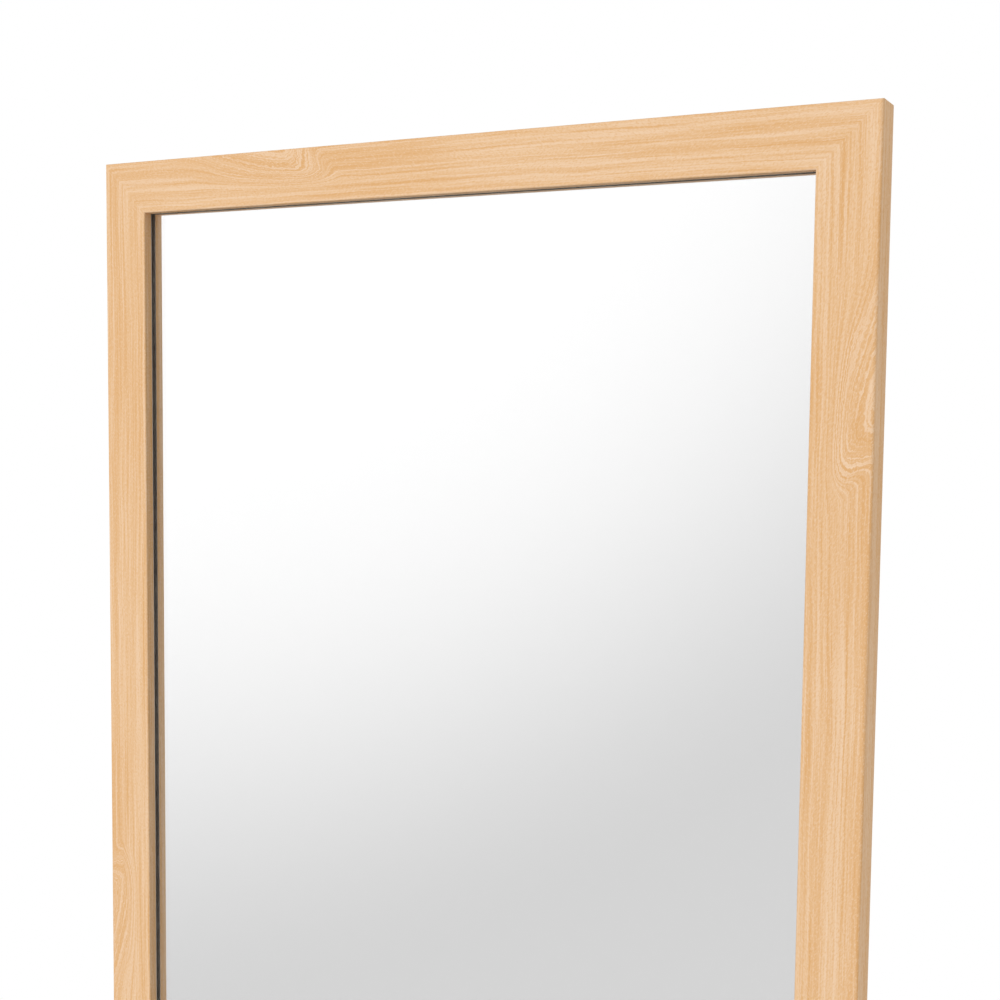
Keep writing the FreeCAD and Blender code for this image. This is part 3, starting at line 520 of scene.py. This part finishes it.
def switchByIndex(tree, kind, items):
    node = addNode(tree, "GeometryNodeIndexSwitch", data_type=kind)
    while len(node.index_switch_items) < len(items):
        node.index_switch_items.new()
    tree.links.new(tree.nodes.new("GeometryNodeInputIndex").outputs[0], node.inputs["Index"])
    for i, item in enumerate(items):
        if isinstance(item, bpy.types.NodeSocket):
            tree.links.new(item, node.inputs[str(i)])
        else:
            node.inputs[str(i)].default_value = item
    return node.outputs[0]


def remember(tree, geometry, label, value, kind="FLOAT"):
    inputs = {"Geometry": geometry, "Name": label, "Value": value}
    return addNode(tree, "GeometryNodeStoreNamedAttribute", inputs, data_type=kind).outputs[0]


def recall(tree, label, kind="FLOAT"):
    return addNode(tree, "GeometryNodeInputNamedAttribute", {"Name": label}, data_type=kind).outputs[0]


def finished(tree, geometry, material):
    geometry = addNode(tree, "GeometryNodeRealizeInstances", {"Geometry": geometry}).outputs[0]
    inputs = {"Geometry": geometry, "Material": material}
    geometry = addNode(tree, "GeometryNodeSetMaterial", inputs).outputs[0]
    addNode(tree, "NodeGroupOutput", {"Geometry": geometry})
    return tree


def mitredMemberTree():
    sizes = ("Length", "Width", "Depth", "Lip", "Rebate")
    rounds = ("Front Round", "Lip Round", "Back Round", "Inner Round")
    inputs = [(label, "Float") for label in sizes + rounds]
    inputs += [("Arc Steps", "Int"), ("Grain Start", "Float"), ("Material", "Material")]
    tree, given = newGroup("mitredMember", inputs)

    def corner(across, depth):
        return addNode(tree, "ShaderNodeCombineXYZ", {0: across, 1: depth}).outputs[0]

    width, depth, lip, rebate = given["Width"], given["Depth"], given["Lip"], given["Rebate"]
    corners = [
        (corner(0, 0), given["Lip Round"]),
        (corner(width, 0), given["Front Round"]),
        (corner(width, depth), given["Back Round"]),
        (corner(rebate, depth), given["Inner Round"]),
        (corner(rebate, lip), 0.0),
        (corner(0, lip), given["Inner Round"]),
    ]
    spots = switchByIndex(tree, "VECTOR", [spot for spot, radius in corners])
    radii = switchByIndex(tree, "FLOAT", [radius for spot, radius in corners])
    points = addNode(tree, "GeometryNodePoints", {"Count": len(corners), "Position": spots}).outputs[0]
    section = addNode(tree, "GeometryNodePointsToCurves", {"Points": points}).outputs[0]
    section = addNode(tree, "GeometryNodeSetSplineCyclic", {"Geometry": section, "Cyclic": True}).outputs[0]
    arcs = {"Curve": section, "Radius": radii, "Count": given["Arc Steps"]}
    section = addNode(tree, "GeometryNodeFilletCurve", arcs, mode="POLY").outputs[0]
    position = tree.nodes.new("GeometryNodeInputPosition").outputs[0]
    spot = addNode(tree, "ShaderNodeSeparateXYZ", {0: position})
    section = remember(tree, section, "across", spot.outputs[0])
    section = remember(tree, section, "through", spot.outputs[1])

    end = addNode(tree, "ShaderNodeCombineXYZ", {2: given["Length"]}).outputs[0]
    line = addNode(tree, "GeometryNodeCurvePrimitiveLine", {"End": end}).outputs[0]
    line = remember(tree, line, "share", tree.nodes.new("GeometryNodeSplineParameter").outputs["Factor"])
    swept = {"Curve": line, "Profile Curve": section, "Fill Caps": True}
    solid = addNode(tree, "GeometryNodeCurveToMesh", swept).outputs[0]

    # the ends are cut at 45 degrees: the outer edge keeps the whole length
    across, through, share = (recall(tree, label) for label in ("across", "through", "share"))
    cut = calc(tree, "SUBTRACT", width, across)
    run = calc(tree, "SUBTRACT", given["Length"], calc(tree, "MULTIPLY", cut, 2.0))
    along = calc(tree, "ADD", cut, calc(tree, "MULTIPLY", share, run))
    place = addNode(tree, "ShaderNodeCombineXYZ", {0: along, 1: across, 2: through}).outputs[0]
    moved = {"Geometry": solid, "Position": place}
    solid = addNode(tree, "GeometryNodeSetPosition", moved).outputs[0]
    # the grain is measured between the cuts, so that it meets itself at each mitre
    run = calc(tree, "ADD", given["Grain Start"], calc(tree, "MULTIPLY", share, given["Length"]))
    grain = addNode(tree, "ShaderNodeCombineXYZ", {0: run, 1: across, 2: through}).outputs[0]
    solid = remember(tree, solid, "grain", grain, "FLOAT_VECTOR")
    return finished(tree, solid, given["Material"])


def frameMember(name, node, tree, along, outward, grainStart):
    low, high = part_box(node)
    length = abs((high - low).dot(along))
    width = abs((high - low).dot(outward))
    thing = grow(
        newObject(name, bpy.data.meshes.new(name)),
        tree,
        Length=length,
        Width=width,
        Depth=high.y - low.y,
        Lip=memberPlan["lip"],
        Rebate=memberPlan["rebate"],
        **{
            "Front Round": memberPlan["frontRound"],
            "Lip Round": memberPlan["lipRound"],
            "Back Round": memberPlan["backRound"],
            "Inner Round": memberPlan["innerRound"],
            "Arc Steps": memberPlan["arcSteps"],
            "Grain Start": grainStart,
            "Material": oak,
        },
    )
    # the three directions add up to the signs that say which corner of the box to start from
    signs = along + outward + toBack
    origin = Vector([(low if signs[i] > 0 else high)[i] for i in range(3)])
    turn = Matrix((along, outward, toBack)).transposed().to_4x4()
    thing.data.transform(Matrix.Translation(origin) @ turn)
    for label in ("across", "through", "share"):
        thing.data.attributes.remove(thing.data.attributes[label])
    shape = bmesh.new()
    shape.from_mesh(thing.data)
    bmesh.ops.recalc_face_normals(shape, faces=shape.faces)
    shape.to_mesh(thing.data)
    shape.free()
    evenlyShaded(thing)
    placed(thing, "mirror", "frame_wood", node)
    return grainStart + length


memberTree = mitredMemberTree()
grainStart = 0.0
for name, node, along, outward in (
    ("leftStile", "left_stile", upwards, -toRight),
    ("topRail", "top_rail", toRight, upwards),
    ("rightStile", "right_stile", -upwards, toRight),
    ("bottomRail", "bottom_rail", -toRight, -upwards),
):
    grainStart = frameMember(name, node, memberTree, along, outward, grainStart)
print("frame members made")


# the glass is a clear sheet over its silvering, with a safety film behind
glassPlan = {
    "airGap": 0.15 * mm,
    "glass": 2.9 * mm,
    "silver": 0.10 * mm,
    "seam": 0.02 * mm,
    "edge": 0.4 * mm,
    "tape": 0.12 * mm,
    "tapeWidth": 7 * mm,
}
glassLow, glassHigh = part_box("mirror_glass")


def sheetPiece(name, front, rear, edge, material):
    outline = roundedOutline(
        [
            (glassLow.x, glassLow.z, edge),
            (glassHigh.x, glassLow.z, edge),
            (glassHigh.x, glassHigh.z, edge),
            (glassLow.x, glassHigh.z, edge),
        ],
        steps=3,
    )
    thing = prism(name, outline, front, rear, (toRight, upwards, toBack))
    return painted(thing, material)


glassFront = glassLow.y + glassPlan["airGap"]
silverFront = glassFront + glassPlan["glass"] + glassPlan["seam"]
filmFront = silverFront + glassPlan["silver"] + glassPlan["seam"]
for name, front, rear, material in (
    ("clearGlass", glassFront, glassFront + glassPlan["glass"], glass),
    ("silvering", silverFront, silverFront + glassPlan["silver"], silver),
    ("safetyFilm", filmFront, glassHigh.y, film),
):
    placed(sheetPiece(name, front, rear, glassPlan["edge"], material), "mirror", "mirror", "mirror_glass")


def glazingTape():
    # a thin foam tape behind the lip, flush with the opening, beds the glass
    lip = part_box("left_stile")[1].x
    inner = (lip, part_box("bottom_rail")[1].z, -lip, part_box("top_rail")[0].z)
    width = glassPlan["tapeWidth"]
    outer = (inner[0] - width, inner[1] - width, inner[2] + width, inner[3] + width)
    gap = 0.01 * mm
    shape = bmesh.new()
    rings = []
    for left, bottom, right, top in (outer, inner):
        for level in (glassLow.y + gap, glassLow.y + gap + glassPlan["tape"]):
            corners = ((left, bottom), (right, bottom), (right, top), (left, top))
            rings.append([shape.verts.new((a, level, b)) for a, b in corners])
    for first, second in ((0, 1), (1, 3), (3, 2), (2, 0)):
        for i in range(4):
            j = (i + 1) % 4
            shape.faces.new((rings[first][i], rings[first][j], rings[second][j], rings[second][i]))
    bmesh.ops.recalc_face_normals(shape, faces=shape.faces)
    mesh = bpy.data.meshes.new("glazingTape")
    shape.to_mesh(mesh)
    shape.free()
    return placed(painted(newObject("glazingTape", mesh), foam), "mirror", "rubber")


glazingTape()
print("mirror glass made")


# posts, feet and stretcher
standPlan = {
    "timberRound": 2.5 * mm,
    "toeRound": 6 * mm,
    "footToe": 22 * mm,
    "footFlat": 120 * mm,
    "bendRound": 60 * mm,
    "arcSteps": 24,
}
drillPlan = {"bush": 6 * mm, "counterbore": 8 * mm, "nut": 5 * mm, "through": 1 * mm}
# metres along the grain's pattern where a pair starts, and how far left and right are from there
grainPlan = {"post": (1.05, 1.1), "foot": (2.0, 0.9), "knob": (50.0, 4.0)}


def grainFrom(piece, sign):
    middle, apart = grainPlan[piece]
    return middle + apart * sign


def postPiece(side, sign):
    low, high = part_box(f"{side}_post")
    half = (high.y - low.y) / 2
    dome = half * 0.999  # just short of half, so that the two arcs don't meet in one point
    corners = [(-half, low.z, 0), (half, low.z, 0), (half, high.z, dome), (-half, high.z, dome)]
    thing = prism(
        f"{side}Post",
        roundedOutline(corners, standPlan["arcSteps"]),
        low.x,
        high.x,
        (toBack, upwards, toRight),
        standPlan["timberRound"],
        lambda middle: middle.z < low.z + mm,
    )
    bush = (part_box(f"{side}_pivot_bush")[0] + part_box(f"{side}_pivot_bush")[1]) / 2
    capLow, capHigh = solidsOf("bolt_caps")[0 if sign < 0 else 1]
    nutLow, nutHigh = solidsOf("post_barrel_nuts")[0 if sign < 0 else 1]
    washerLow, washerHigh = solidsOf("stretcher_bolt_washers")[0 if sign < 0 else 1]
    out = toRight * sign
    inner = low.x if sign > 0 else high.x
    outer = high.x if sign > 0 else low.x
    capDepth = abs(outer - (washerLow.x if sign > 0 else washerHigh.x))
    nutDepth = abs((nutHigh.x if sign > 0 else nutLow.x) - inner)
    capMouth = Vector((outer, 0, (capLow.z + capHigh.z) / 2))
    nutMouth = Vector((inner, 0, (nutLow.z + nutHigh.z) / 2))
    extra = drillPlan["through"]
    holes = [
        (Vector((low.x - extra, bush.y, bush.z)), toRight, drillPlan["bush"], high.x - low.x + 2 * extra),
        (capMouth + out * extra, -out, drillPlan["counterbore"], capDepth + extra),
        (nutMouth - out * extra, out, drillPlan["nut"], nutDepth + extra),
    ]
    drilled(thing, holes)
    giveGrain(thing, upwards, toBack, -out, (grainFrom("post", sign), 0.012, abs(outer)))
    evenlyShaded(thing)
    painted(thing, oak)
    return placed(thing, "stand", "stand_wood", f"{side}_post")


def footPiece(side, sign):
    low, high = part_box(f"{side}_foot")
    toe = low.z + standPlan["footToe"]
    flat = standPlan["footFlat"] / 2
    corners = [
        (low.y, low.z, 0),
        (high.y, low.z, 0),
        (high.y, toe, standPlan["toeRound"]),
        (flat, high.z, standPlan["bendRound"]),
        (-flat, high.z, standPlan["bendRound"]),
        (low.y, toe, standPlan["toeRound"]),
    ]
    thing = prism(
        f"{side}Foot",
        roundedOutline(corners, 6),
        low.x,
        high.x,
        (toBack, upwards, toRight),
        standPlan["timberRound"],
        lambda middle: middle.z < low.z + mm / 10,
    )
    washerTop = solidsOf("foot_bolt_washers")[0 if sign < 0 else 1][1].z
    centre = Vector(((low.x + high.x) / 2, 0, low.z - drillPlan["through"]))
    depth = washerTop - low.z + drillPlan["through"]
    drilled(thing, [(centre, upwards, drillPlan["counterbore"], depth)])
    outerFace = max(abs(low.x), abs(high.x))
    start = (grainFrom("foot", sign), -0.018, outerFace)
    giveGrain(thing, toBack, upwards, -toRight * sign, start)
    evenlyShaded(thing)
    painted(thing, oak)
    return placed(thing, "stand", "stand_wood", f"{side}_foot")


def stretcherPiece():
    low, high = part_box("stretcher")
    edge = standPlan["timberRound"]
    corners = [(low.y, low.z, edge), (high.y, low.z, edge), (high.y, high.z, edge), (low.y, high.z, edge)]
    thing = prism("stretcherRail", roundedOutline(corners, 5), low.x, high.x, (toBack, upwards, toRight))
    holes = []
    for nutLow, nutHigh in solidsOf("stretcher_barrel_nuts"):
        mouth = (nutLow + nutHigh) / 2
        mouth.y = high.y + drillPlan["through"]
        holes.append((mouth, -toBack, drillPlan["nut"], mouth.y - nutLow.y))
    drilled(thing, holes)
    giveGrain(thing, toRight, upwards, toBack, (3.3, -0.092, -low.y))
    evenlyShaded(thing)
    painted(thing, oak)
    return placed(thing, "stand", "stand_wood", "stretcher")


for side, sign in sides.items():
    postPiece(side, sign)
    footPiece(side, sign)
stretcherPiece()
print("stand made")


# clamp knobs: a narrow hub flares out to a scalloped grip with a rounded crown
knobPlan = {
    "grip": 20 * mm,
    "hub": 13 * mm,
    "neck": 3 * mm,
    "flare": 9 * mm,
    "crown": 5 * mm,
    "scallops": 8,
    "scallopRadius": 7 * mm,
    "scallopDepth": 2 * mm,
    "hubRound": 0.8 * mm,
    "dimple": 0.15 * mm,  # a shallow ring turned into the face
}


def knobPiece(side, sign):
    plan = knobPlan
    low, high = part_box(f"{side}_knob")
    length = high.x - low.x
    full = plan["grip"]
    distance = full + plan["scallopRadius"] - plan["scallopDepth"]

    def scallop(angle):
        pitch = 2 * math.pi / plan["scallops"]
        off = (angle + pitch / 2) % pitch - pitch / 2
        inside = plan["scallopRadius"] ** 2 - (distance * math.sin(off)) ** 2
        return distance * math.cos(off) - math.sqrt(inside) if inside > 0 else full

    edge = plan["hubRound"]
    profile = [(0, 0), (plan["hub"] - edge, 0), (plan["hub"] - edge * 0.3, edge * 0.3), (plan["hub"], edge)]
    profile.append((plan["hub"], plan["neck"]))
    for step in range(1, 9):  # the neck opens out in a soft flare
        share = step / 8
        ease = share * share * (3 - 2 * share)
        straight = plan["hub"] + (full - plan["hub"]) * share
        eased = plan["hub"] + (full - plan["hub"]) * ease
        profile.append((min(straight, eased), plan["neck"] + (plan["flare"] - plan["neck"]) * share))
    for step in range(1, 5):
        profile.append((full, plan["flare"] + (length - plan["crown"] - plan["flare"]) * step / 4))
    for step in range(1, 9):
        turn = math.pi / 2 * step / 8
        profile.append(
            (full - plan["crown"] * (1 - math.cos(turn)), length - plan["crown"] * (1 - math.sin(turn)))
        )
    face = full - plan["crown"]
    profile += [(face * 0.6, length), (face * 0.5, length - plan["dimple"]), (face * 0.4, length)]
    profile.append((0, length))
    thing = turned(f"{side}ClampKnob", profile, 16 * plan["scallops"], scallop)
    out = toRight * sign
    base = Vector((low.x if sign > 0 else high.x, (low.y + high.y) / 2, (low.z + high.z) / 2))
    turn = out.to_track_quat("Z", "Y").to_matrix().to_4x4()
    thing.data.transform(Matrix.Translation(base) @ turn)
    giveGrain(thing, upwards, toBack, toRight, (grainFrom("knob", sign), 0.004, 0.3))
    evenlyShaded(thing, 40)
    painted(thing, oak)
    return placed(thing, f"{side}_knob", "knob_wood", f"{side}_knob")


for side, sign in sides.items():
    knobPiece(side, sign)
print("clamp knobs made")


# screws, clips and glides: one part each, copied to its places by a node tree
screwPlan = {
    "shank": 1.75 * mm,
    "head": 3.4 * mm,
    "rise": 2.0 * mm,
    "length": 12 * mm,
    "slot": 0.9 * mm,  # the cross recess: its width, and its reach from the middle
    "reach": 1.9 * mm,
}
glideScrewPlan = {
    "shank": 2.0 * mm,
    "head": 4.4 * mm,
    "rise": 2.2 * mm,
    "length": 16 * mm,
    "slot": 1.1 * mm,
    "reach": 2.4 * mm,
}
clipPlan = {
    "thick": 1.2 * mm,
    "wall": 16 * mm,
    "toe": 10 * mm,
    "width": 12 * mm,
    "hole": 8 * mm,  # from the clip's outer end
    "holeRadius": 2.0 * mm,
}
glidePlan = {
    "radius": 14 * mm,
    "edge": 1 * mm,
    "hole": 2.3 * mm,
    "recess": 5 * mm,
    "recessDepth": 2.6 * mm,
}


def repeatTree():
    # copies a part to each point, its Z along "out" and its X along "reach", and twists it at random
    inputs = [("Geometry", "Geometry"), ("Part", "Object")]
    inputs += [("Twist", "Float"), ("Seed", "Int"), ("Material", "Material")]
    tree, given = newGroup("repeatedPart", inputs)
    out, reach = (recall(tree, label, "FLOAT_VECTOR") for label in ("out", "reach"))
    axes = {"Primary Axis": out, "Secondary Axis": reach}
    turns = {"primary_axis": "Z", "secondary_axis": "X"}
    facing = addNode(tree, "FunctionNodeAxesToRotation", axes, **turns).outputs[0]
    chance = addNode(tree, "FunctionNodeRandomValue", data_type="FLOAT")
    for socket in chance.inputs:
        if socket.enabled and socket.name == "Max":
            tree.links.new(given["Twist"], socket)
        if socket.enabled and socket.name == "Seed":
            tree.links.new(given["Seed"], socket)
    amount = next(socket for socket in chance.outputs if socket.enabled)
    spin = {"Axis": (0, 0, 1), "Angle": amount}
    twist = addNode(tree, "FunctionNodeAxisAngleToRotation", spin).outputs[0]
    both = {"Rotation": facing, "Rotate By": twist}
    facing = addNode(tree, "FunctionNodeRotateRotation", both, rotation_space="LOCAL").outputs[0]
    part = addNode(tree, "GeometryNodeObjectInfo", {"Object": given["Part"]}).outputs["Geometry"]
    copies = {"Points": given["Geometry"], "Instance": part, "Rotation": facing}
    geometry = addNode(tree, "GeometryNodeInstanceOnPoints", copies).outputs[0]
    return finished(tree, geometry, given["Material"])


def repeated(name, part, spots, material, twist=0.0, seed=0):
    # spots are (point, out, reach)
    mesh = bpy.data.meshes.new(name)
    mesh.from_pydata([spot[0] for spot in spots], [], [])
    for label, index in (("out", 1), ("reach", 2)):
        attribute = mesh.attributes.new(label, "FLOAT_VECTOR", "POINT")
        attribute.data.foreach_set("vector", [value for spot in spots for value in spot[index]])
    thing = grow(newObject(name, mesh), repeater, Part=part, Twist=twist, Seed=seed, Material=material)
    return evenlyShaded(thing)


def screwPart(name, plan):
    # pan head with a cross recess; the head's underside is at Z = 0
    shank, head, rise = plan["shank"], plan["head"], plan["rise"]
    rim = rise * 0.35  # the head's straight edge; the recess goes down to its top
    profile = [(0, -plan["length"]), (shank * 0.55, -plan["length"]), (shank, -plan["length"] + shank)]
    profile += [(shank, 0), (head, 0), (head, rim)]
    for step in range(1, 5):
        turn = math.pi / 2 * step / 5
        profile.append((head * math.cos(turn) ** 0.6, rim + (rise - rim) * math.sin(turn)))
    profile.append((0, rise))
    thing = turned(name, profile, 24)
    half, reach = plan["slot"] / 2, plan["reach"]
    outline = [(-reach, -half), (reach, -half), (reach, half), (-reach, half)]
    for first, second in ((toRight, toBack), (toBack, toRight)):
        blade = prism("blade", outline, rim, rise * 1.5, (first, second, upwards))
        cut = thing.modifiers.new("slot", "BOOLEAN")
        cut.object, cut.solver, cut.operation = blade, "EXACT", "DIFFERENCE"
        bpy.context.view_layer.update()
        settled(thing)
        bpy.data.objects.remove(blade)
    return thing


def clipPart():
    # a strip stepped down to the board, its bends rounded; it starts at X = 0 on the frame's back
    plan = clipPlan
    thick, wall = plan["thick"], plan["wall"]
    low, high = solidsOf("retaining_clips")[0]
    drop = high.y - low.y - thick
    bend = thick * 0.5
    corners = [
        (0, 0, bend * 0.4),
        (wall, 0, bend),
        (wall, -drop, bend + thick * 0.8),
        (wall + plan["toe"], -drop, bend * 0.4),
        (wall + plan["toe"], thick - drop, bend * 0.4),
        (wall + thick, thick - drop, bend),
        (wall + thick, thick, bend + thick * 0.8),
        (0, thick, bend * 0.4),
    ]
    half = plan["width"] / 2
    thing = prism("clip", roundedOutline(corners, 4), -half, half, (toRight, upwards, toBack))
    hole = Vector((plan["hole"], 0, -thick))
    return drilled(thing, [(hole, upwards, plan["holeRadius"], 3 * thick)])


def glidePart():
    plan = glidePlan
    low, high = solidsOf("foot_glides")[0]
    thick = high.z - low.z
    hole, recess, deep, edge = plan["hole"], plan["recess"], plan["recessDepth"], plan["edge"]
    profile = [(hole, thick), (hole, deep), (recess, deep), (recess, 0), (plan["radius"] - edge, 0)]
    for step in range(1, 5):
        turn = math.pi / 2 * step / 4
        profile.append((plan["radius"] - edge * (1 - math.sin(turn)), edge * (1 - math.cos(turn))))
    profile.append((plan["radius"], thick))
    return turned("glide", profile, 48, ring=True)


repeater = repeatTree()
woodScrew = screwPart("woodScrew", screwPlan)
glideScrew = screwPart("glideScrew", glideScrewPlan)
clip = clipPart()
glide = glidePart()

# screws on the frame's back: each head's underside is one rise below the node's highest point
for name, node, seed in (("plateScrews", "corner_plate_screws", 3), ("clipScrews", "clip_screws", 8)):
    spots = []
    for low, high in solidsOf(node):
        middle = (low + high) / 2
        spots.append((Vector((middle.x, high.y - screwPlan["rise"], middle.z)), toBack, upwards))
    piece = repeated(name, woodScrew, spots, screwZinc, twist=math.pi / 2, seed=seed)
    placed(piece, "mirror", "zinc_steel", node)

# clips reach inwards, across the member that they are screwed to
spots = []
frameMiddle = (glassLow + glassHigh) / 2
for low, high in solidsOf("retaining_clips"):
    size, middle = high - low, (low + high) / 2
    if size.x > size.z:
        reach = toRight if middle.x < frameMiddle.x else -toRight
    else:
        reach = upwards if middle.z < frameMiddle.z else -upwards
    start = middle - reach * (max(size.x, size.z) / 2)
    spots.append((Vector((start.x, high.y - clipPlan["thick"], start.z)), toBack, reach))
placed(repeated("retainingClips", clip, spots, zinc), "mirror", "zinc_steel", "retaining_clips")


def underside(node, rise, out):  # spots at the underside of each of a node's solids
    middles = [((low + high) / 2, low.z + rise) for low, high in solidsOf(node)]
    return [(Vector((middle.x, middle.y, level)), out, toRight) for middle, level in middles]


spots = underside("foot_glides", 0, upwards)
placed(repeated("footGlides", glide, spots, rubber), "stand", "rubber", "foot_glides")
spots = underside("glide_screws", glideScrewPlan["rise"], -upwards)
piece = repeated("glideScrews", glideScrew, spots, screwZinc, twist=math.pi / 2, seed=5)
placed(piece, "stand", "zinc_steel", "glide_screws")
for part in (woodScrew, glideScrew, clip, glide):
    bpy.data.objects.remove(part)
print("screws, clips and glides made")


# pieces whose CAD shape is kept as it is get a finish
finishes = {
    hardboard: ["backing_board"],
    card: ["packing_card"],
    rubber: ["glass_setting_blocks"],
    zinc: [
        "corner_plates",
        "foot_bolt_washers",
        "post_barrel_nuts",
        "stretcher_bolt_washers",
        "stretcher_barrel_nuts",
        "left_clamp_washer",
        "right_clamp_washer",
        "left_knob_stud",
        "right_knob_stud",
    ],
    blackSteel: ["foot_bolts", "stretcher_bolts"],
    brass: ["left_pivot_insert", "right_pivot_insert", "left_pivot_bush", "right_pivot_bush"],
    nylon: ["left_friction_spacer", "right_friction_spacer"],
    oakMaterial("oakDowelsUp", "ZXY"): ["foot_dowels"],
    oakMaterial("oakAcross", "XYZ"): ["stretcher_dowels"],
    oakMaterial("oakCaps", "YZX"): ["bolt_caps"],
}
for material, nodes in finishes.items():
    for node in nodes:
        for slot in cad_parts[node].material_slots:
            slot.link = "OBJECT"
            slot.material = material


# floor, surroundings, light and camera
stagePlan = {"floorRadius": 1.35, "fadeFrom": 0.50, "floorColour": (0.92, 0.92, 0.92)}
lightPlan = {
    "towards": (-0.654, -0.663, 0.365),  # the bright part of the room, seen from the mirror
    "behind": 0.56,
    "dimmest": 0.688,
    "brightest": 1.05,
    "shade": (-0.25, 0.50),  # cosines between which the room falls off behind
    "edge": (0.705, 0.912),  # cosines between which the bright part fades
    "beside": (0.95, -0.31, 0.0),  # a pale warm wall lights the faces turned to the right
    "besideEdge": (0.30, 0.85),
    "wall": 0.27,
    "wallTint": (1.0, 0.965, 0.90),
    "keyPower": 75,
    "keyPlace": (-1.5, -4.7, 2.9),
    "keyAim": (0, 0, 1.0),
    "keySize": 2.4,
}
cameraPlan = {
    "focal": 52.24,
    "place": (0.3905, -0.6710, 1.4566),
    "heading": 28.06,  # degrees to the left of straight ahead
    "tilt": -4.20,
    "roll": 0.60,
}


def makeFloor():
    shape = bmesh.new()
    bmesh.ops.create_circle(shape, cap_ends=True, segments=96, radius=stagePlan["floorRadius"])
    mesh = bpy.data.meshes.new("floor")
    shape.to_mesh(mesh)
    shape.free()
    material, tree, shader = newMaterial("paleFloor", Roughness=0.75, Specular_IOR_Level=0.2)
    shader.inputs["Base Color"].default_value = (*stagePlan["floorColour"], 1)
    away = addNode(tree, "ShaderNodeVectorMath", {0: objectPlace(tree)}, operation="LENGTH")
    clear = fade(tree, away.outputs["Value"], stagePlan["fadeFrom"], stagePlan["floorRadius"])
    gone = addNode(tree, "ShaderNodeBsdfTransparent")
    mixed = addNode(tree, "ShaderNodeMixShader", {0: clear, 1: shader.outputs[0], 2: gone.outputs[0]})
    tree.links.new(mixed.outputs[0], tree.nodes["Material Output"].inputs[0])
    floor = newObject("floor", mesh)
    floor.data.materials.append(material)


def makeSurroundings():
    world = bpy.data.worlds.new("studio")
    scene.world = world
    world.use_nodes = True
    tree = world.node_tree
    direction = addNode(tree, "ShaderNodeTexCoord").outputs["Generated"]

    def facing(aim):
        parts = {0: direction, 1: lightPlan[aim]}
        return addNode(tree, "ShaderNodeVectorMath", parts, operation="DOT_PRODUCT").outputs["Value"]

    dim = fade(tree, facing("towards"), *lightPlan["shade"], lightPlan["behind"], lightPlan["dimmest"])
    wall = fade(tree, facing("beside"), *lightPlan["besideEdge"])
    dim = calc(tree, "ADD", dim, calc(tree, "MULTIPLY", wall, lightPlan["wall"]))
    level = fade(tree, facing("towards"), *lightPlan["edge"], dim, lightPlan["brightest"])
    # seen directly, the backdrop is plain white
    seen = addNode(tree, "ShaderNodeLightPath").outputs["Is Camera Ray"]
    level = addNode(tree, "ShaderNodeMix", {0: seen, 2: level, 3: 1.0}).outputs[0]
    tint = calc(tree, "MULTIPLY", wall, calc(tree, "SUBTRACT", 1.0, seen))
    backdrop = tree.nodes["Background"]
    tree.links.new(level, backdrop.inputs["Strength"])
    tree.links.new(blended(tree, tint, (1.0, 1.0, 1.0), lightPlan["wallTint"]), backdrop.inputs["Color"])


def makeKeyLight():
    data = bpy.data.lights.new("softKey", "AREA")
    data.shape, data.size, data.energy = "DISK", lightPlan["keySize"], lightPlan["keyPower"]
    lamp = bpy.data.objects.new("softKey", data)
    scene.collection.objects.link(lamp)
    lamp.location = lightPlan["keyPlace"]
    aim = Vector(lightPlan["keyAim"]) - lamp.location
    lamp.rotation_euler = aim.to_track_quat("-Z", "Y").to_euler()
    lamp.visible_glossy = lamp.visible_transmission = False


def makeCamera():
    data = bpy.data.cameras.new("camera")
    data.sensor_width, data.lens = 36, cameraPlan["focal"]
    data.clip_start, data.clip_end = 0.01, 50
    camera = bpy.data.objects.new("camera", data)
    scene.collection.objects.link(camera)
    heading = Matrix.Rotation(math.radians(cameraPlan["heading"]), 4, "Z")
    tilt = Matrix.Rotation(math.radians(90 + cameraPlan["tilt"]), 4, "X")
    roll = Matrix.Rotation(math.radians(cameraPlan["roll"]), 4, "Z")
    camera.matrix_world = Matrix.Translation(cameraPlan["place"]) @ heading @ tilt @ roll
    scene.camera = camera


makeFloor()
makeSurroundings()
makeKeyLight()
makeCamera()
scene.view_settings.view_transform = "Standard"
print("stage, light and camera set")
